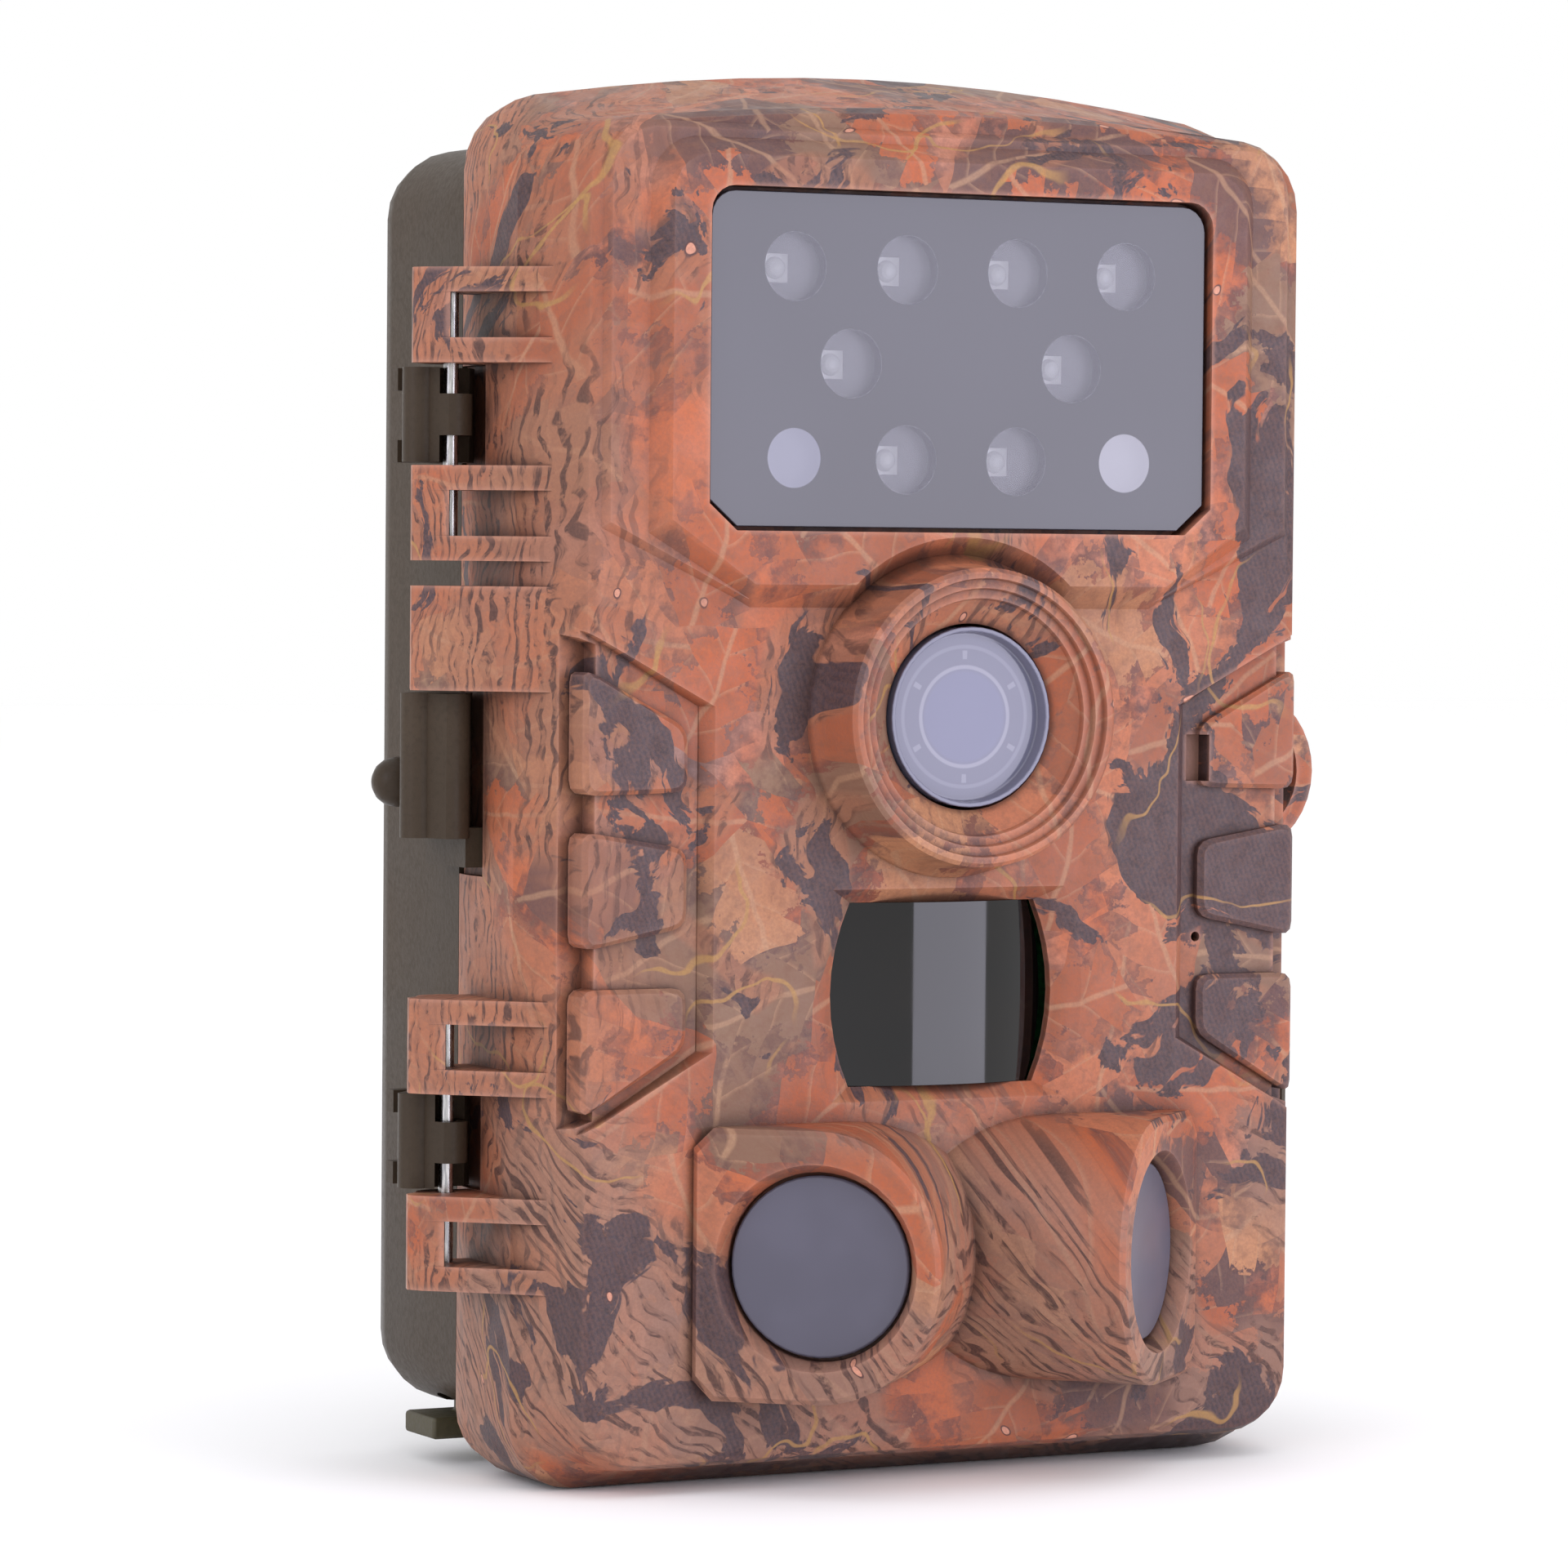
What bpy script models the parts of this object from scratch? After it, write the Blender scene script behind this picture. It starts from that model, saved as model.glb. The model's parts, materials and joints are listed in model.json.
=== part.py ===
"""Trail camera: a strapped-down rear case with the batteries, and a hinged front door that carries
the optics, sensors and keypad. Metres, +Z up, front of the camera towards -Y, origin on the base."""

import math

import bmesh
import bpy
from mathutils import Matrix, Vector

MM = 0.001
GAP = 0.3  # clearance between neighbouring pieces, in millimetres like every size below

# Front door casing, from its face to the seam
RIM_HALF = 43.7
RIM_TOP = 139.5
PLATE_INSET = 3.3
PLATE_DROP = 4.1
PLATE_HALF = RIM_HALF - PLATE_INSET
PLATE_BASE = 2.4
PLATE_TOP = RIM_TOP - PLATE_DROP
FACE_Y = -13.4
EDGE_ROUND = 1.7
SHOULDER_Y = -8.2
RIM_FRONT_Y = -4.8
RIM_REAR_Y = 5.2
RIM_DROP = 2.9
RIM_FRONT_TOP = RIM_TOP - RIM_DROP
SEAM_Y = 9.0
RIM_BEVEL = 0.6
DOOR_WALL = 2.6

# Rear case
CASE_INSET = 0.7
CASE_DROP = 5.3
CASE_HALF = RIM_HALF - CASE_INSET
CASE_BASE = 5.1
CASE_TOP = RIM_TOP - CASE_DROP
CASE_BACK_Y = 31.5
CASE_WALL = 2.2
CASE_CORNER = 7.0

# Raised lamp panel on the face
PANEL_Y = -15.8
STEP_LIFT = 0.7
PANEL_SLOPE = 1.3
WINDOW_HALF = 27.8
WINDOW_LOW = 94.1
WINDOW_HIGH = 126.6
WINDOW_THICK = 1.6
WINDOW_DEPTH = 0.9
LAMP_PITCH = 12.4
LAMP_ROW = 9.3
LAMP_MID_Z = 110.1

# Main lens boss
LENS_Z = 75.6
LENS_BORE = 9.2
BOSS_WALL = 5.5
BOSS_RADIUS = LENS_BORE + BOSS_WALL
BOSS_Y = -20.5
LENS_RADIUS = LENS_BORE - GAP
GROOVE = 1.0

# Centre sensor window
EYE_Z = 48.1
EYE_HALF = 12.5
EYE_HALF_HIGH = 9.1
EYE_SAG = 2.1
EYE_FUNNEL = 2.9
EYE_CURVE = 26.0

# Side sensor pods
POD_ANGLE = math.radians(42)
POD_X = 18.3
POD_Y = -21.1
POD_Z = 22.5
POD_RADIUS = 12.4
POD_HALF_HIGH = 13.3
POD_DISC = 8.9
POD_RIM = 1.7
POD_BORE = 5.4

# Door hinge on the left
HINGE_OUT = 3.4
HINGE_X = -(RIM_HALF + HINGE_OUT)
HINGE_Y = 3.0
PIN_RADIUS = 0.75
LEAF = 9.25
LEAF_GAP = 0.35
UPPER_HINGE_TOP = 119.0
LOWER_HINGE_TOP = 47.9
ARM = 2.4
DUCT_TOP = 88.1
DUCT_SEAM = 77.75
DUCT_BASE = 63.4
DUCT_BORE = 1.4
DUCT_BEND = (HINGE_X + 1.6, HINGE_Y + 6.9)
LEAD_RADIUS = 0.8

# Latches and padlock eyes on the right
LATCH_OUT = 2.0
LATCH_X = RIM_HALF + LATCH_OUT
LATCH_Y = 18.0
LATCH_PIN = 0.9
LATCH_HIGH = 14.0
LATCH_CENTRES = (105.0, 33.0)
LUG_INSET = 0.8
LUG_X = RIM_HALF - LUG_INSET
LUG_Z = 69.3
LUG_RADIUS = 8.6
LUG_HOLE = 6.7
LUG_THICK = 3.0

# Batteries: size AA cells in two rows of four
CELL_RADIUS = 7.1
CELL_LENGTH = 50.2
CELL_RIB = 0.8
CELL_PITCH = 2 * (CELL_RADIUS + GAP) + CELL_RIB
TRAY_WALL = 1.4
TRAY_ROOM = 0.5
TRAY_SIDE = 1.5
TRAY_HALF = 1.5 * CELL_PITCH + CELL_RADIUS + GAP + TRAY_SIDE
CELL_Y = CASE_BACK_Y - CASE_WALL - TRAY_ROOM - TRAY_WALL - GAP - CELL_RADIUS
CELL_BASE_Z = 20.7
CONTACT_ROOM = 4.6

# Boards and keypad in the door
BOARD_Y = -6.2
BOARD_THICK = 1.3
COVER_Y = 5.0
COVER_THICK = 1.8
BUTTON_RADIUS = 3.2
BUTTON_TRAVEL = 1.0
KEYS = (("button_up", 0.0, 70.0), ("button_down", 0.0, 50.0),
        ("button_menu", -12.0, 60.0), ("button_ok", 12.0, 60.0))
CARD_WIDE = 24.0
CARD_LONG = 32.0
CARD_THICK = 2.1
SCREEN_HALF = 25.0
SCREEN_LOW = 88.0
SCREEN_HIGH = 126.0

# Back plate for the tree strap, tripod boss and power socket
BRACKET_HALF = 21.0
BRACKET_LOW = 26.0
BRACKET_HIGH = 114.0
RIB_DEPTH = 8.0
STRAP_SLOT = 27.0
STRAP_THICK = 5.0
BOSS_HALF = 9.0
TRIPOD_Y = 20.0
TRIPOD_RADIUS = 3.175
INSERT_RADIUS = 5.2
INSERT_TOP = 9.5
SOCKET_RADIUS = 3.6
PLUG_X = -(TRAY_HALF + GAP + SOCKET_RADIUS)
FLAP_LEFT = PLUG_X - 6.4
FLAP_RIGHT = PLUG_X + 9.2
FLAP_TOP = 4.6
FLAP_THICK = 2.2
NUB_Y = 15.0
NUB_Z = 68.5
NUB_RADIUS = 2.5
PLUG_Y = 19.0

COLOURS = {
    "camo": ((0.50, 0.24, 0.15), 0.5, 0.0),
    "olive": ((0.10, 0.075, 0.05), 0.4, 0.0),
    "steel": ((0.6, 0.6, 0.62), 0.25, 1.0),
    "brass": ((0.75, 0.55, 0.25), 0.3, 1.0),
    "grey_window": ((0.20, 0.19, 0.24), 0.1, 0.0),
    "black_window": ((0.01, 0.01, 0.01), 0.05, 0.0),
    "black_plastic": ((0.02, 0.02, 0.02), 0.5, 0.0),
    "board": ((0.02, 0.10, 0.05), 0.4, 0.0),
    "lamp": ((0.75, 0.78, 0.8), 0.15, 0.0),
    "rubber": ((0.03, 0.03, 0.03), 0.7, 0.0),
    "olive_rubber": ((0.12, 0.11, 0.05), 0.6, 0.0),
    "cell": ((0.05, 0.12, 0.25), 0.3, 0.3),
    "nickel": ((0.65, 0.63, 0.6), 0.3, 1.0),
    "red": ((0.6, 0.05, 0.04), 0.4, 0.0),
}


def clear_scene():
    for obj in list(bpy.data.objects):
        bpy.data.objects.remove(obj, do_unlink=True)


def material(name):
    found = bpy.data.materials.get(name)
    if found:
        return found
    colour, roughness, metallic = COLOURS[name]
    made = bpy.data.materials.new(name)
    made.use_nodes = True
    shader = made.node_tree.nodes["Principled BSDF"]
    shader.inputs["Base Color"].default_value = (*colour, 1.0)
    shader.inputs["Roughness"].default_value = roughness
    shader.inputs["Metallic"].default_value = metallic
    return made


def piece(name, mesh_maker, finish="camo", smooth=True):
    """A new object whose mesh is filled by mesh_maker(bm), in millimetres."""
    mesh = bpy.data.meshes.new(name)
    bm = bmesh.new()
    mesh_maker(bm)
    bmesh.ops.remove_doubles(bm, verts=bm.verts, dist=1e-4)
    bmesh.ops.recalc_face_normals(bm, faces=bm.faces)
    bmesh.ops.scale(bm, vec=(MM, MM, MM), verts=bm.verts)
    bm.to_mesh(mesh)
    bm.free()
    if smooth:
        mesh.shade_smooth()
        mesh.set_sharp_from_angle(angle=math.radians(35))
    obj = bpy.data.objects.new(name, mesh)
    obj.data.materials.append(material(finish))
    bpy.context.scene.collection.objects.link(obj)
    return obj


def combine(target, tool, operation):
    """Joins tool to target or cuts it away, and removes the tool."""
    modifier = target.modifiers.new("shape", "BOOLEAN")
    modifier.operation = operation
    modifier.object = tool
    bpy.context.view_layer.update()
    graph = bpy.context.evaluated_depsgraph_get()
    mesh = bpy.data.meshes.new_from_object(target.evaluated_get(graph))
    target.modifiers.clear()
    target.data = mesh
    bpy.data.objects.remove(tool, do_unlink=True)
    return target


def add(target, *tools):
    for tool in tools:
        combine(target, tool, "UNION")
    return target


def cut(target, *tools):
    for tool in tools:
        combine(target, tool, "DIFFERENCE")
    return target


def box(low, high, name="tool", finish="camo"):
    middle = [(a + b) / 2 for a, b in zip(low, high)]
    size = [b - a for a, b in zip(low, high)]

    def make(bm):
        bmesh.ops.create_cube(bm, size=1.0)
        bmesh.ops.scale(bm, vec=size, verts=bm.verts)
        bmesh.ops.translate(bm, vec=middle, verts=bm.verts)

    return piece(name, make, finish, smooth=False)


def prism(points, low, high, axis="Z", name="tool", finish="camo"):
    """A straight extrusion of a closed outline: XY points along Z, or XZ points along Y."""

    def make(bm):
        rings = []
        for level in (low, high):
            spots = [(a, b, level) if axis == "Z" else (a, level, b) for a, b in points]
            rings.append([bm.verts.new(spot) for spot in spots])
        close_rings(bm, rings)

    return piece(name, make, finish)


def close_rings(bm, rings):
    """Skins a stack of rings that all have the same number of points, with a face at each end."""
    count = len(rings[0])
    for near, far in zip(rings, rings[1:]):
        for i in range(count):
            j = (i + 1) % count
            bm.faces.new((near[i], near[j], far[j], far[i]))
    bm.faces.new(rings[0][::-1])
    bm.faces.new(rings[-1])


def loft(sections, name="tool", finish="camo"):
    """A solid through outlines of XZ points, each given with its Y."""

    def make(bm):
        rings = [[bm.verts.new((x, y, z)) for x, z in points] for y, points in sections]
        close_rings(bm, rings)

    return piece(name, make, finish)


def turned(profile, origin, direction, segments=48, name="tool", finish="camo"):
    """A turned solid: profile is (radius, distance along direction), closed on the axis at both ends."""
    way = Vector(direction).normalized()
    turn = way.to_track_quat("Z", "Y").to_matrix().to_4x4()
    place = Matrix.Translation(Vector(origin)) @ turn

    def make(bm):
        rings = []
        for radius, along in profile:
            ring = []
            for i in range(segments):
                angle = 2 * math.pi * i / segments
                spot = Vector((radius * math.cos(angle), radius * math.sin(angle), along))
                ring.append(bm.verts.new(place @ spot))
            rings.append(ring)
        close_rings(bm, rings)

    return piece(name, make, finish)


def rod(start, end, radius, segments=32, name="tool", finish="steel"):
    start, end = Vector(start), Vector(end)
    length = (end - start).length
    return turned([(radius, 0), (radius, length)], start, end - start, segments, name, finish)


def arc(cx, cz, radius, start, end, steps):
    """Points of an arc, angles in degrees, anticlockwise."""
    spots = []
    for i in range(steps + 1):
        angle = math.radians(start + (end - start) * i / steps)
        spots.append((cx + radius * math.cos(angle), cz + radius * math.sin(angle)))
    return spots


def arched(half, low, high, corner_low, corner_high, arch, inset=0.0, corner_right=None):
    """A casing outline: flat base, straight sides and a slightly arched top, all corners rounded."""
    half, low, high = half - inset, low + inset, high - inset
    corner_right = max((corner_right or corner_low) - inset, 0.6)
    corner_low, corner_high = max(corner_low - inset, 0.6), max(corner_high - inset, 0.6)
    shoulder = half - corner_high
    drop = arch - math.sqrt(arch * arch - shoulder * shoulder)
    lean = math.degrees(math.asin(shoulder / arch))
    centre_z = high - drop - corner_high
    points = arc(-half + corner_low, low + corner_low, corner_low, 180, 270, 6)
    points += arc(half - corner_right, low + corner_right, corner_right, 270, 360, 6)
    points += arc(shoulder, centre_z, corner_high, 0, 90 - lean, 5)
    top = arc(0, high - arch, arch, 90 - lean, 90 + lean, 10)
    points += top[1:-1]
    points += arc(-shoulder, centre_z, corner_high, 90 + lean, 180, 5)
    return points


def mirrored(points):
    return [(-x, z) for x, z in points]


def both_sides(right):
    """A closed outline from its right half, which runs upwards."""
    return right + mirrored(right)[::-1]


def rounded(points, radius, steps=3):
    """An outline with each corner replaced by a short curve of about the given radius."""
    spots = []
    count = len(points)
    for i in range(count):
        corner = Vector(points[i])
        before = (Vector(points[i - 1]) - corner)
        after = (Vector(points[(i + 1) % count]) - corner)
        reach = min(radius, before.length * 0.45, after.length * 0.45)
        start = corner + before.normalized() * reach
        end = corner + after.normalized() * reach
        for k in range(steps + 1):
            t = k / steps
            spot = start * (1 - t) ** 2 + corner * (2 * t * (1 - t)) + end * t ** 2
            spots.append((spot.x, spot.y))
    return spots


def grow(points, amount, middle):
    """Moves each point of a simple outline away from its middle by about the same distance."""
    moved = []
    for x, z in points:
        away = Vector((x - middle[0], z - middle[1]))
        spread = 1 + amount / away.length
        moved.append((middle[0] + away.x * spread, middle[1] + away.y * spread))
    return moved


# ---------------------------------------------------------------- outlines shared by both halves

def rim_outline(inset=0.0, high=RIM_TOP):
    return arched(RIM_HALF, 0.0, high, 6.6, 7.6, 225.0, inset, 9.5)


def plate_outline(inset=0.0):
    return arched(PLATE_HALF, PLATE_BASE, PLATE_TOP, 6.5, 7.0, 320.0, inset)


def case_outline(inset=0.0):
    return arched(CASE_HALF, CASE_BASE, CASE_TOP, CASE_CORNER, CASE_CORNER, 300.0, inset)


# ---------------------------------------------------------------- front door casing

def door_shell():
    rounding = EDGE_ROUND
    sections = [
        (FACE_Y, plate_outline(rounding)),
        (FACE_Y + 0.25 * rounding, plate_outline(0.35 * rounding)),
        (FACE_Y + rounding, plate_outline()),
        (SHOULDER_Y, arched(PLATE_HALF + 1.2, PLATE_BASE - 0.5, PLATE_TOP + 0.3, 7.5, 7.5, 280.0)),
        (RIM_FRONT_Y, rim_outline(high=RIM_FRONT_TOP)),
        (RIM_REAR_Y, rim_outline()),
        (SEAM_Y, rim_outline(RIM_BEVEL)),
    ]
    return loft(sections, "front_housing")


def door_hollow():
    front = FACE_Y + DOOR_WALL
    return loft([
        (front, plate_outline(DOOR_WALL)),
        (RIM_FRONT_Y + 0.5, plate_outline(DOOR_WALL)),
        (RIM_FRONT_Y + 2.5, rim_outline(DOOR_WALL + 0.2, RIM_FRONT_TOP)),
        (SEAM_Y + 1.0, rim_outline(DOOR_WALL + 0.2, RIM_FRONT_TOP)),
    ])


def lamp_panel():
    """Two raised levels above the slanted lines: a low one out to the edge, a higher one round the lamps."""
    def level(half, low, knee, rise, high, corner):
        right = [(knee, low), (half, low + rise), (half, high - corner)]
        right += arc(half - corner, high - corner, corner, 0, 85, 5)[1:]
        return both_sides(right)

    slope = PANEL_SLOPE
    step_y = FACE_Y - STEP_LIFT
    step = loft([(FACE_Y + 1.0, level(38.9, 86.2, 22.6, 7.3, 133.3, 5.5)),
                 (FACE_Y, level(38.6, 86.5, 22.8, 7.3, 133.1, 5.5)),
                 (step_y, level(38.0, 87.1, 23.1, 7.3, 132.5, 5.0))])
    raised = loft([(FACE_Y + 1.0, level(33.9 + slope, 86.6 - slope, 22.4, 6.8, 131.7 + slope, 6.0)),
                   (step_y, level(33.9, 86.9, 22.6, 6.5, 131.7, 5.0)),
                   (PANEL_Y + 0.3, level(33.9 - slope, 88.1, 23.0, 6.3, 131.7 - slope, 4.2)),
                   (PANEL_Y, level(33.5 - slope, 88.5, 23.1, 6.2, 131.3 - slope, 4.0))])
    return step, raised


def window_outline(inset=0.0):
    half, low, high = WINDOW_HALF - inset, WINDOW_LOW + inset, WINDOW_HIGH - inset
    right = [(half - 3.0, low), (half, low + 2.6), (half, high - 2.6)]
    right += arc(half - 2.6, high - 2.6, 2.6, 0, 90, 5)[1:]
    return both_sides(right)


def lamp_spots():
    """Centres of the ten lamp positions: four above, two between, four below."""
    top = [((i - 1.5) * LAMP_PITCH, LAMP_MID_Z + LAMP_ROW) for i in range(4)]
    middle = [(x * LAMP_PITCH, LAMP_MID_Z) for x in (-1.0, 1.0)]
    low = [((i - 1.5) * LAMP_PITCH, LAMP_MID_Z - LAMP_ROW) for i in range(4)]
    return top + middle + low


def lens_boss():
    """Round boss with a flared foot and a stepped funnel down to the lens bore."""
    depth = FACE_Y + 1.6
    steps = [(BOSS_RADIUS + 1.6, depth), (BOSS_RADIUS + 1.2, FACE_Y - 0.8), (BOSS_RADIUS + 0.4, FACE_Y - 2.2),
             (BOSS_RADIUS, BOSS_Y + 0.4), (BOSS_RADIUS - 0.4, BOSS_Y)]
    radius, level = BOSS_RADIUS - GROOVE, BOSS_Y
    for _ in range(3):
        steps += [(radius, level), (radius - 0.15, level + 0.6 * GROOVE)]
        radius -= GROOVE
        level += 0.6 * GROOVE
    steps += [(LENS_BORE, level + 1.9), (LENS_BORE, depth)]
    direction = (0, 1, 0)

    def make(bm):
        count = 72
        rings = []
        for r, y in steps:
            ring = []
            for i in range(count):
                angle = 2 * math.pi * i / count
                ring.append(bm.verts.new((r * math.cos(angle), y, LENS_Z + r * math.sin(angle))))
            rings.append(ring)
        for near, far in zip(rings, rings[1:] + rings[:1]):
            for i in range(count):
                j = (i + 1) % count
                bm.faces.new((near[i], near[j], far[j], far[i]))

    moat = turned([(BOSS_RADIUS + 0.9, 0), (BOSS_RADIUS + 3.3, 2.9)], (0, FACE_Y + 0.1, LENS_Z), (0, -1, 0), 72)
    return moat, piece("tool", make)


def eye_outline(wider=0.0, taller=0.0):
    """Barrel outline of the centre sensor window: flat above and below, bowed at the sides."""
    half, high = EYE_HALF + wider, EYE_HALF_HIGH + taller
    right = []
    for i in range(9):
        z = high * (i / 4 - 1)
        right.append((half - EYE_SAG * (z / high) ** 2, EYE_Z + z))
    return both_sides(right)


def pod_frame(side):
    """Origin and directions of a side pod: out of the disc, and sideways towards the middle."""
    out = Vector((side * math.sin(POD_ANGLE), -math.cos(POD_ANGLE), 0))
    across = Vector((-side * math.cos(POD_ANGLE), -math.sin(POD_ANGLE), 0))
    return Vector((side * POD_X, POD_Y, POD_Z)), out, across


def pod_body(side):
    """A D-shaped tower along the disc's axis: round towards the middle, square at the outer end."""
    centre, out, across = pod_frame(side)
    shape = [(u, w * POD_HALF_HIGH / POD_RADIUS) for u, w in arc(0, 0, POD_RADIUS, -90, 90, 20)]
    shape += [(-POD_RADIUS + 2.0, POD_HALF_HIGH), (-POD_RADIUS, POD_HALF_HIGH - 2.0)]
    shape += [(-POD_RADIUS, -POD_HALF_HIGH + 2.0), (-POD_RADIUS + 2.0, -POD_HALF_HIGH)]

    def make(bm):
        rings = []
        for along, inset in ((-19.0, 0.0), (POD_RIM - 0.5, 0.0), (POD_RIM, 0.5)):
            shrink = 1 - inset / POD_RADIUS
            ring = []
            for u, w in shape:
                spot = centre + out * along + across * (u * shrink) + Vector((0, 0, w * shrink))
                ring.append(bm.verts.new(spot))
            rings.append(ring)
        close_rings(bm, rings)

    tower = piece("tool", make)
    keep = box((-60, -60, -20), (60, FACE_Y + 1.0, 80))
    return combine(tower, keep, "INTERSECT")


def pod_bores(side):
    centre, out, across = pod_frame(side)
    seat = turned([(POD_DISC + 0.35, -1.6), (POD_DISC + 0.35, 0.2), (POD_DISC + 1.5, POD_RIM + 0.6)],
                  centre, out, 48)
    through = turned([(POD_BORE, -16.5), (POD_BORE, -1.0)], centre, out, 24)
    return seat, through


def grip_pocket(side):
    """Slant-ended pocket at the edge of the face, open to the side, with a sloping inner wall."""
    edge, brink = PLATE_HALF + 6.6, PLATE_HALF + 0.6

    def shape(wide):
        inner = PLATE_HALF - wide
        right = [(edge, 87.6), (brink, 84.4), (inner, 76.6), (inner, 43.0), (brink, 34.8), (edge, 31.6)]
        return right if side > 0 else mirrored(right)[::-1]

    floor = FACE_Y + 1.2
    bay = loft([(FACE_Y - 1.0, shape(14.4)), (FACE_Y, shape(14.2)), (floor, shape(13.0)), (floor + 0.1, shape(13.0))])
    rows = [(PLATE_HALF - 1.9, 82.6), (edge, 85.6), (edge, 33.6), (PLATE_HALF - 1.9, 36.6)]
    notch = rows if side > 0 else mirrored(rows)[::-1]
    return bay, loft([(FACE_Y - 1.0, notch), (SHOULDER_Y - 1.3, notch)])


def grip_pads(side):
    """Three raised pads in the pocket; the outer two follow the slanted ends."""
    inner, outer = PLATE_HALF - 11.5, PLATE_HALF - 0.2
    shapes = (
        [(inner, 68.3), (outer, 68.0), (outer, 80.4), (inner, 74.5)],
        [(inner, 55.2), (outer, 53.0), (outer, 64.6), (inner, 62.8)],
        [(inner, 43.4), (outer, 36.8), (outer, 49.3), (inner, 49.3)],
    )
    pads = []
    for shape in shapes:
        shape = rounded(shape, 1.5)
        middle = (sum(x for x, _ in shape) / len(shape), sum(z for _, z in shape) / len(shape))
        top = grow(shape, -0.6, middle)
        if side < 0:
            shape, top = mirrored(shape)[::-1], mirrored(top)[::-1]
        pads.append(loft([(SHOULDER_Y - 1.6, shape), (FACE_Y + 0.55, shape), (FACE_Y + 0.1, top)]))
    return pads


def bracket_plan():
    """Outline, seen from above, of a door hinge arm: slanted front, rounded nose round the pin."""
    root = 2.7 - RIM_HALF
    nose = arc(HINGE_X, HINGE_Y, 3.0, 45, 165, 8)
    tip = [(HINGE_X - 4.3, HINGE_Y - 0.2), (HINGE_X - 4.7, HINGE_Y - 1.4), (HINGE_X - 3.9, HINGE_Y - 2.8)]
    return [(root, -8.9), (root, HINGE_Y + 2.0)] + nose + tip


def hinge_arms(top):
    """One C-shaped door bracket: two arms joined by an upright outside the pin."""
    low = top - LEAF
    upper = prism(bracket_plan(), top - ARM, top)
    lower = prism(bracket_plan(), low, low + ARM)
    plan = ((-4.7, -1.4), (-3.9, -2.8), (-2.1, -4.35), (-1.6, -2.4), (-1.9, -0.2), (-4.3, -0.2))
    upright = prism([(HINGE_X + x, HINGE_Y + y) for x, y in plan], low + 0.5, top - 0.5)
    return add(upper, lower, upright)


def hinge_levels():
    """Tops of the door brackets and of the case knuckles, for both hinges."""
    pitch = LEAF + LEAF_GAP
    tops = (UPPER_HINGE_TOP, LOWER_HINGE_TOP)
    return [(top, top - 2 * pitch) for top in tops], [top - pitch for top in tops]


def knuckle_notch(low, high):
    return box((HINGE_X - 12, 2.3, low - GAP), (1.1 - RIM_HALF, SEAM_Y + 2, high + GAP))


def door_lug():
    return eye_plate(1.4, 1.4 + LUG_THICK, RIM_HALF - 3.2)


def eye_plate(low, high, root):
    """A half-round padlock eye standing out of the right side."""
    outer = arc(LUG_X, LUG_Z, LUG_RADIUS, -90, 90, 18) + [(root, LUG_Z + LUG_RADIUS), (root, LUG_Z - LUG_RADIUS)]
    start = math.degrees(math.acos((RIM_HALF + 0.05 - LUG_X) / LUG_HOLE))
    hole = arc(LUG_X, LUG_Z, LUG_HOLE, -start, start, 16)
    return cut(prism(outer, low, high, "Y"), prism(hole, low - 1, high + 1, "Y"))


def front_housing():
    shell = door_shell()
    step, raised = lamp_panel()
    moat, boss = lens_boss()
    add(shell, step)
    add(shell, raised)
    cut(shell, moat)
    for side in (-1, 1):
        cut(shell, *grip_pocket(side))
        add(shell, *grip_pads(side))
    for side in (-1, 1):
        add(shell, pod_body(side))
    door_tops, case_tops = hinge_levels()
    for top in (top for pair in door_tops for top in pair):
        add(shell, hinge_arms(top))
    add(shell, prism(bracket_plan(), DUCT_SEAM + LEAF_GAP / 2, DUCT_TOP))
    add(shell, door_lug())
    cut(shell, door_hollow())
    cut(shell, turned([(LENS_BORE + 1.5, 0), (LENS_BORE + 1.5, 20)], (0, -30, LENS_Z), (0, 1, 0), 55))
    add(shell, boss)
    recess = PANEL_Y + WINDOW_DEPTH + WINDOW_THICK + GAP
    cut(shell, prism(window_outline(-0.4), -30, recess, "Y"))
    cut(shell, prism(window_outline(2.6), -30, FACE_Y + DOOR_WALL + 1, "Y"))
    funnel = EYE_FUNNEL
    cut(shell, loft([(FACE_Y - 0.6, eye_outline(funnel + 0.8, 1.9)), (FACE_Y + 1.6, eye_outline()),
                     (FACE_Y + DOOR_WALL + 1, eye_outline())]))
    for side in (-1, 1):
        cut(shell, *pod_bores(side))
    cut(shell, box((PLATE_HALF - 12.5, FACE_Y - 2, 68.9), (PLATE_HALF - 10.5, FACE_Y + 2.2, 73.6)))
    cut(shell, rod((PLATE_HALF - 11.2, -20, 53.1), (PLATE_HALF - 11.2, -10, 53.1), 0.5, 16))
    for top in case_tops:
        cut(shell, knuckle_notch(top - LEAF, top))
    cut(shell, knuckle_notch(DUCT_BASE - 3.5, DUCT_SEAM))
    for hinge in door_tops:
        cut(shell, rod((HINGE_X, HINGE_Y, hinge[1] - LEAF + ARM - 1.0), (HINGE_X, HINGE_Y, hinge[0] - ARM + 1.0),
                       PIN_RADIUS + GAP, 24))
    cut(shell, rod((HINGE_X, HINGE_Y, DUCT_SEAM - 1), (HINGE_X, HINGE_Y, DUCT_SEAM + 5.5), DUCT_BORE, 16))
    cut(shell, rod((HINGE_X, HINGE_Y, DUCT_SEAM + 5.0), (HINGE_X + 8.1, HINGE_Y, DUCT_SEAM + 5.0), DUCT_BORE, 16))
    return shell


# ---------------------------------------------------------------- door optics and sensors

def lamp_window():
    front = PANEL_Y + WINDOW_DEPTH
    return prism(window_outline(), front, front + WINDOW_THICK, "Y", "led_window", "grey_window")


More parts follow.
